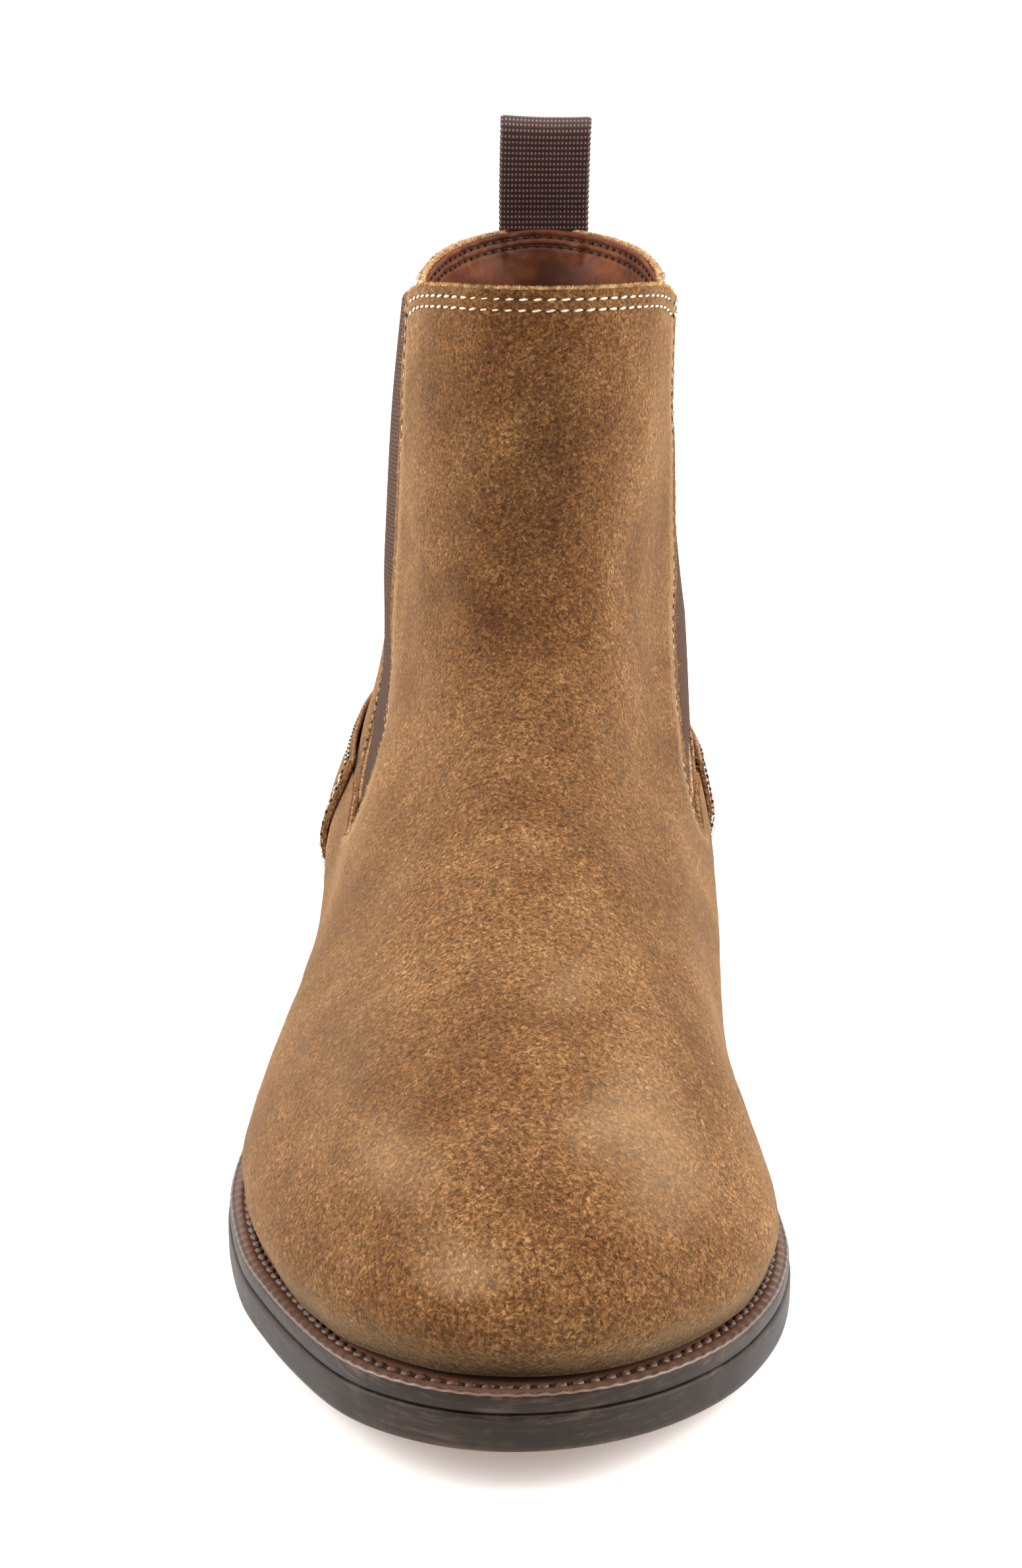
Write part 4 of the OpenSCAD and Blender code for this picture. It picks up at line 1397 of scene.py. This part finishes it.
@dataclass
class Bottom:
    """Welt, outsole and stacked heel, with edges trimmed by hand and dressed."""

    last: Last
    outsole_t: float = 6.8
    welt_w: float = 13.0
    cement: float = 0.05
    heel_breast: float = 74.0
    top_piece_t: float = 6.0
    lift_t: float = 5.5
    stitch_pitch: float = 2.9
    stitch_inset: float = 4.1

    def around(self, count: int) -> Array:
        """Places round the sole, evenly spaced by length."""
        fine = 4000
        u = (np.arange(fine) + 0.5) / fine
        plan = self.last.outline(u, 0)
        step = np.linalg.norm(np.roll(plan, -1, 0) - plan, axis=-1)
        run = (np.cumsum(step) - step / 2) / step.sum()
        half = np.interp((np.arange(count // 2) + 0.5) / count, run / run[fine // 2 - 1] / 2, u)
        return np.concatenate([half, 1 - half[::-1]])

    def loops(self, u: Array, rows: list[tuple[float, float]]) -> Array:
        """Loops round the sole.

        Args:
            u: Places round the sole.
            rows: Inset and height above the underside of each loop.

        Returns:
            Loops of x, y, z.
        """
        made = []
        for inset, height in rows:
            plan = self.last.outline(u, inset)
            z = self.last.underside(plan[:, 1]) + height
            points = np.concatenate([plan, z[:, None]], -1)
            uneven = 0.1 * wander(points * [1, 1, 0.3], 26, 41)
            points[:, :2] += (self.last.outline(u, inset - 0.5) - plan) * 2 * uneven[:, None]
            made.append(points)
        return np.stack(made)

    def welt(self) -> None:
        """The welt, its edge pressed into small scallops by the stitches."""
        u = self.around(1400)
        low, high = self.outsole_t + self.cement, self.last.bed
        rows = [(self.welt_w, low), (1.0, low), (0.62, low + 0.12), (0.45, low + 0.5),
                (0.4, low + 1.6), (0.45, high - 0.9), (0.62, high - 0.4), (0.95, high - 0.12),
                (1.5, high), (2.6, high + 0.04), (3.1, high - 0.05), (3.4, high - 0.28),
                (4.1, high - 0.4), (4.9, high - 0.3), (5.4, high - 0.05), (self.welt_w, high)]
        loops = self.loops(u, rows)
        plan = self.last.outline(u, self.stitch_inset)
        run = np.append(0, np.cumsum(np.linalg.norm(np.diff(plan, axis=0), axis=-1)))
        press = np.cos(2 * np.pi * run / self.stitch_pitch)
        for row, depth in ((6, 0.05), (7, 0.1), (8, 0.12), (9, 0.1)):
            loops[row, :, 2] += depth * press
        wear_and_shade = np.zeros(len(rows))
        # Rows 11 to 14, round the stitch channel, are drawn darker.
        wear_and_shade[11:15] = 0.85
        kinds = np.ones(len(rows), int)
        kinds[1:6] = 0
        kinds[7] = 2
        Layer("welt_strip", loops, (Paint.DRESSED, Paint.WELT, Paint.WELT_ARRIS), kinds, wear_and_shade,
              True).build("welt")
        self.welt_stitches(plan, run)

    def welt_stitches(self, plan: Array, run: Array) -> None:
        """The lockstitches on the welt, each a fat loaf between two awl holes."""
        places = np.arange(0, run[-1], self.stitch_pitch)
        points = np.concatenate([plan, self.last.seat(plan[:, 1])[:, None]], -1)
        seam = Seam(self.last, seed=51, thread=Paint.WELT_THREAD)
        bodies, faces, kinds, total = [], [], [], 0
        for hole in (0, 1):
            where = places + hole * self.stitch_pitch / 2

            def at(shift: float) -> Array:
                """Points along the row."""
                spot = (where + shift) % run[-1]
                return np.stack([np.interp(spot, run, points[:, k]) for k in range(3)], -1)

            way = at(0.5) - at(-0.5)
            way /= np.linalg.norm(way, axis=-1, keepdims=True)
            out = np.cross(way, np.array([0, 0, 1.0]))
            up = np.cross(out, way)
            # The hole bodies are painted shade: near-black loaves for the shadowed pits of the awl holes.
            size = (0.9, 0.5, 0.3) if hole else (2.4, 0.72, 0.45)
            made, quads = seam.loaves(at(0) + up * (-0.3 if hole else -0.12), way, up, size, 0.16)
            bodies.append(made)
            faces.append(quads + total)
            kinds.append(np.full(len(quads), hole))
            total += len(made)
        piece = mesh_piece("welt_stitches", np.concatenate(bodies), np.concatenate(faces),
                           [Paint.WELT_THREAD, Paint.HOLE_SHADE], np.concatenate(kinds))
        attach(piece, "boot")

    def outsole(self) -> None:
        """The outsole, with rounded arrises and a bare rim below."""
        high = self.outsole_t
        rows = [(1.4, 0.0), (0.7, 0.08), (0.3, 0.3), (0.08, 0.7), (0.0, 1.4), (-0.02, 3.2),
                (0.0, high - 1.0), (0.12, high - 0.45), (0.4, high - 0.12), (0.9, high)]
        wear_and_shade = np.array([0.9, 0.7, 0.4, 0.1, 0, 0, 0, 0, 0, 0])
        kinds = np.array([1, 1, 0, 0, 0, 0, 0, 0, 0, 0])
        loops = self.loops(self.around(1000), rows)
        Layer("outsole_leather", loops, (Paint.DRESSED, Paint.SOLE_FACE), kinds, wear_and_shade).build("outsole")

    def heel_plan(self, inset: float) -> Array:
        """Plan of the heel, cut off at a breast that is hollowed a little."""
        back, front = self.last.sole_back - inset, self.last.sole_front + inset
        share = (back - self.heel_breast) / (back - front)
        last_u = math.acos(1 - 2 * share) / (2 * math.pi)
        u = np.linspace(0.002, last_u, 90)
        half, other = self.last.outline(u, inset), self.last.outline(1 - u, inset)
        t = np.linspace(0, 0.5, 26)[1:, None]
        hollow = 2.4 * np.sin(np.pi * t) * [0, 1]
        ends = half[-1:], other[-1:]
        half = np.concatenate([half, ends[0] * (1 - t) + ends[1] * t + hollow])
        other = np.concatenate([other, ends[1] * (1 - t) + ends[0] * t + hollow])
        return np.concatenate([half, other[::-1]])

    def heel_layer(self, name: str, node: str, inset: float, low: float, high: float | None,
                   side: Paint, face: Paint) -> None:
        """One layer of the heel.

        Args:
            name: The piece's name.
            node: The CAD node it stands for.
            inset: Inset of its edge from the sole's outline.
            low: Height of its underside above the floor.
            high: Height of its top, or None where it meets the outsole.
            side: Finish of its edge.
            face: Finish of its faces.
        """
        made = []
        for pull, share, lift in (
                (1.0, 0, 0), (0.35, 0, 0.08), (0.08, 0, 0.4), (0, 0, 0.9), (0, 0.5, 0),
                (0, 1, -0.7), (0.1, 1, -0.3), (0.5, 1, -0.02)):
            plan = self.heel_plan(inset + pull)
            top = self.last.underside(plan[:, 1]) - self.cement if high is None else high + 0 * plan[:, 0]
            z = low + (top - low) * share + lift
            made.append(np.concatenate([plan, z[:, None]], -1))
        wear_and_shade = np.array([0.5, 0.4, 0.1, 0, 0, 0, 0, 0]) if low == 0 else np.zeros(8)
        kinds = np.array([1, 0, 0, 0, 0, 0, 0, 1])
        Layer(name, np.stack(made), (side, face), kinds, wear_and_shade).build(node)

    def build(self) -> None:
        """Builds every layer."""
        self.welt()
        self.outsole()
        first, second = self.top_piece_t, self.top_piece_t + self.lift_t
        self.heel_layer("heel_top_piece", "top_piece", 1.2, 0, first, Paint.RUBBER, Paint.RUBBER)
        self.heel_layer("heel_lift_low", "heel_lift_lower", 1.0, first + self.cement, second,
                        Paint.DRESSED, Paint.SOLE_FACE)
        self.heel_layer("heel_lift_high", "heel_lift_upper", 0.8, second + self.cement, None,
                        Paint.DRESSED, Paint.SOLE_FACE)


@dataclass
class Insides:
    """The hidden parts, whose CAD shapes are already right: each gets its finish."""

    finishes: tuple[tuple[str, Paint], ...] = (
        ("tab_anchor", Paint.WEBBING_TAIL), ("heel_grip", Paint.SOCK), ("toe_puff", Paint.FELT),
        ("heel_counter", Paint.BOARD), ("insole_board", Paint.BOARD), ("sock_liner", Paint.SOCK),
        ("cork_filler", Paint.CORK), ("shank", Paint.STEEL), ("heel_pad", Paint.BOARD),
        ("heel_nails", Paint.BRASS))

    def build(self, nodes: dict[str, bpy.types.Object]) -> None:
        """Gives each node its material.

        Args:
            nodes: The CAD nodes by name.
        """
        for name, paint in self.finishes:
            node = nodes[name]
            node.data.materials.clear()
            node.data.materials.append(paint.material())
            LOG.info("%s: %s", name, paint.value.name)


@dataclass
class Studio:
    """Paper floor, soft boxes and the camera."""

    eye: tuple[float, float, float] = (0.0023, -0.487, 0.226)
    pitch: float = 17.6
    lens: float = 56.03
    # Strength of the world behind the camera and beyond the boot.
    dim: float = 0.55
    bright: float = 1.2

    def lamp(self, name: str, place: tuple[float, float, float], size: float, power: float) -> None:
        """A square soft box aimed at the boot.

        Args:
            name: The lamp's name.
            place: Its position in metres.
            size: Its side in metres.
            power: Its power in watts.
        """
        light = bpy.data.lights.new(name, "AREA")
        light.energy, light.size = power, size
        made = bpy.data.objects.new(name, light)
        made.location = place
        aim = Vector((0.0, 0.02, 0.08)) - Vector(place)
        made.rotation_euler = aim.to_track_quat("-Z", "Y").to_euler()
        bpy.context.scene.collection.objects.link(made)

    def build(self) -> None:
        """Builds the floor, the lamps, the world and the camera."""
        side, n = 60.0, 2
        grid = np.linspace(-side, side, n) / MM / 2
        x, y = np.meshgrid(grid, grid, indexing="ij")
        points = np.stack([x, y, 0 * x - 0.05], -1).reshape(-1, 3)
        floor = mesh_piece("paper_floor", points, grid_faces(n, n), [Paint.FLOOR])
        self.lamp("soft_box_left", (-1.0, -0.1, 0.6), 0.9, 18)
        self.lamp("soft_box_right", (1.0, -0.1, 0.6), 0.9, 20)
        self.lamp("soft_box_top", (0.0, 0.2, 1.3), 1.0, 12)
        world = bpy.data.worlds.new("studio_world")
        world.use_nodes = True
        tree = world.node_tree
        way = add_node(tree, "SeparateXYZ", {0: add_node(tree, "TexCoord").outputs["Generated"]})
        glow = add_node(tree, "MapRange", {0: way.outputs[1], "From Min": -0.9, "From Max": 0.2,
                        "To Min": self.dim, "To Max": self.bright})
        sky = tree.nodes["Background"]
        sky.inputs[0].default_value = (1, 1, 1, 1)
        tree.links.new(glow.outputs[0], sky.inputs[1])
        scene = bpy.context.scene
        scene.world = world
        scene.view_settings.view_transform = "Standard"
        lens = bpy.data.cameras.new("camera")
        lens.lens, lens.sensor_width = self.lens, 36
        camera = bpy.data.objects.new("camera", lens)
        camera.location = self.eye
        camera.rotation_euler = (math.radians(90 - self.pitch), 0, 0)
        scene.collection.objects.link(camera)
        scene.camera = camera


def main() -> None:
    """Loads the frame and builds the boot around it."""
    logging.basicConfig(level=logging.INFO)
    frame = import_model()
    last = Last()
    upper = Upper(last)
    Studio().build()
    upper.build()
    Gores(upper).build()
    Linings(upper).build()
    PullTab().build()
    Bottom(last).build()
    Insides().build(frame["nodes"])


if __name__ == "__main__":
    main()
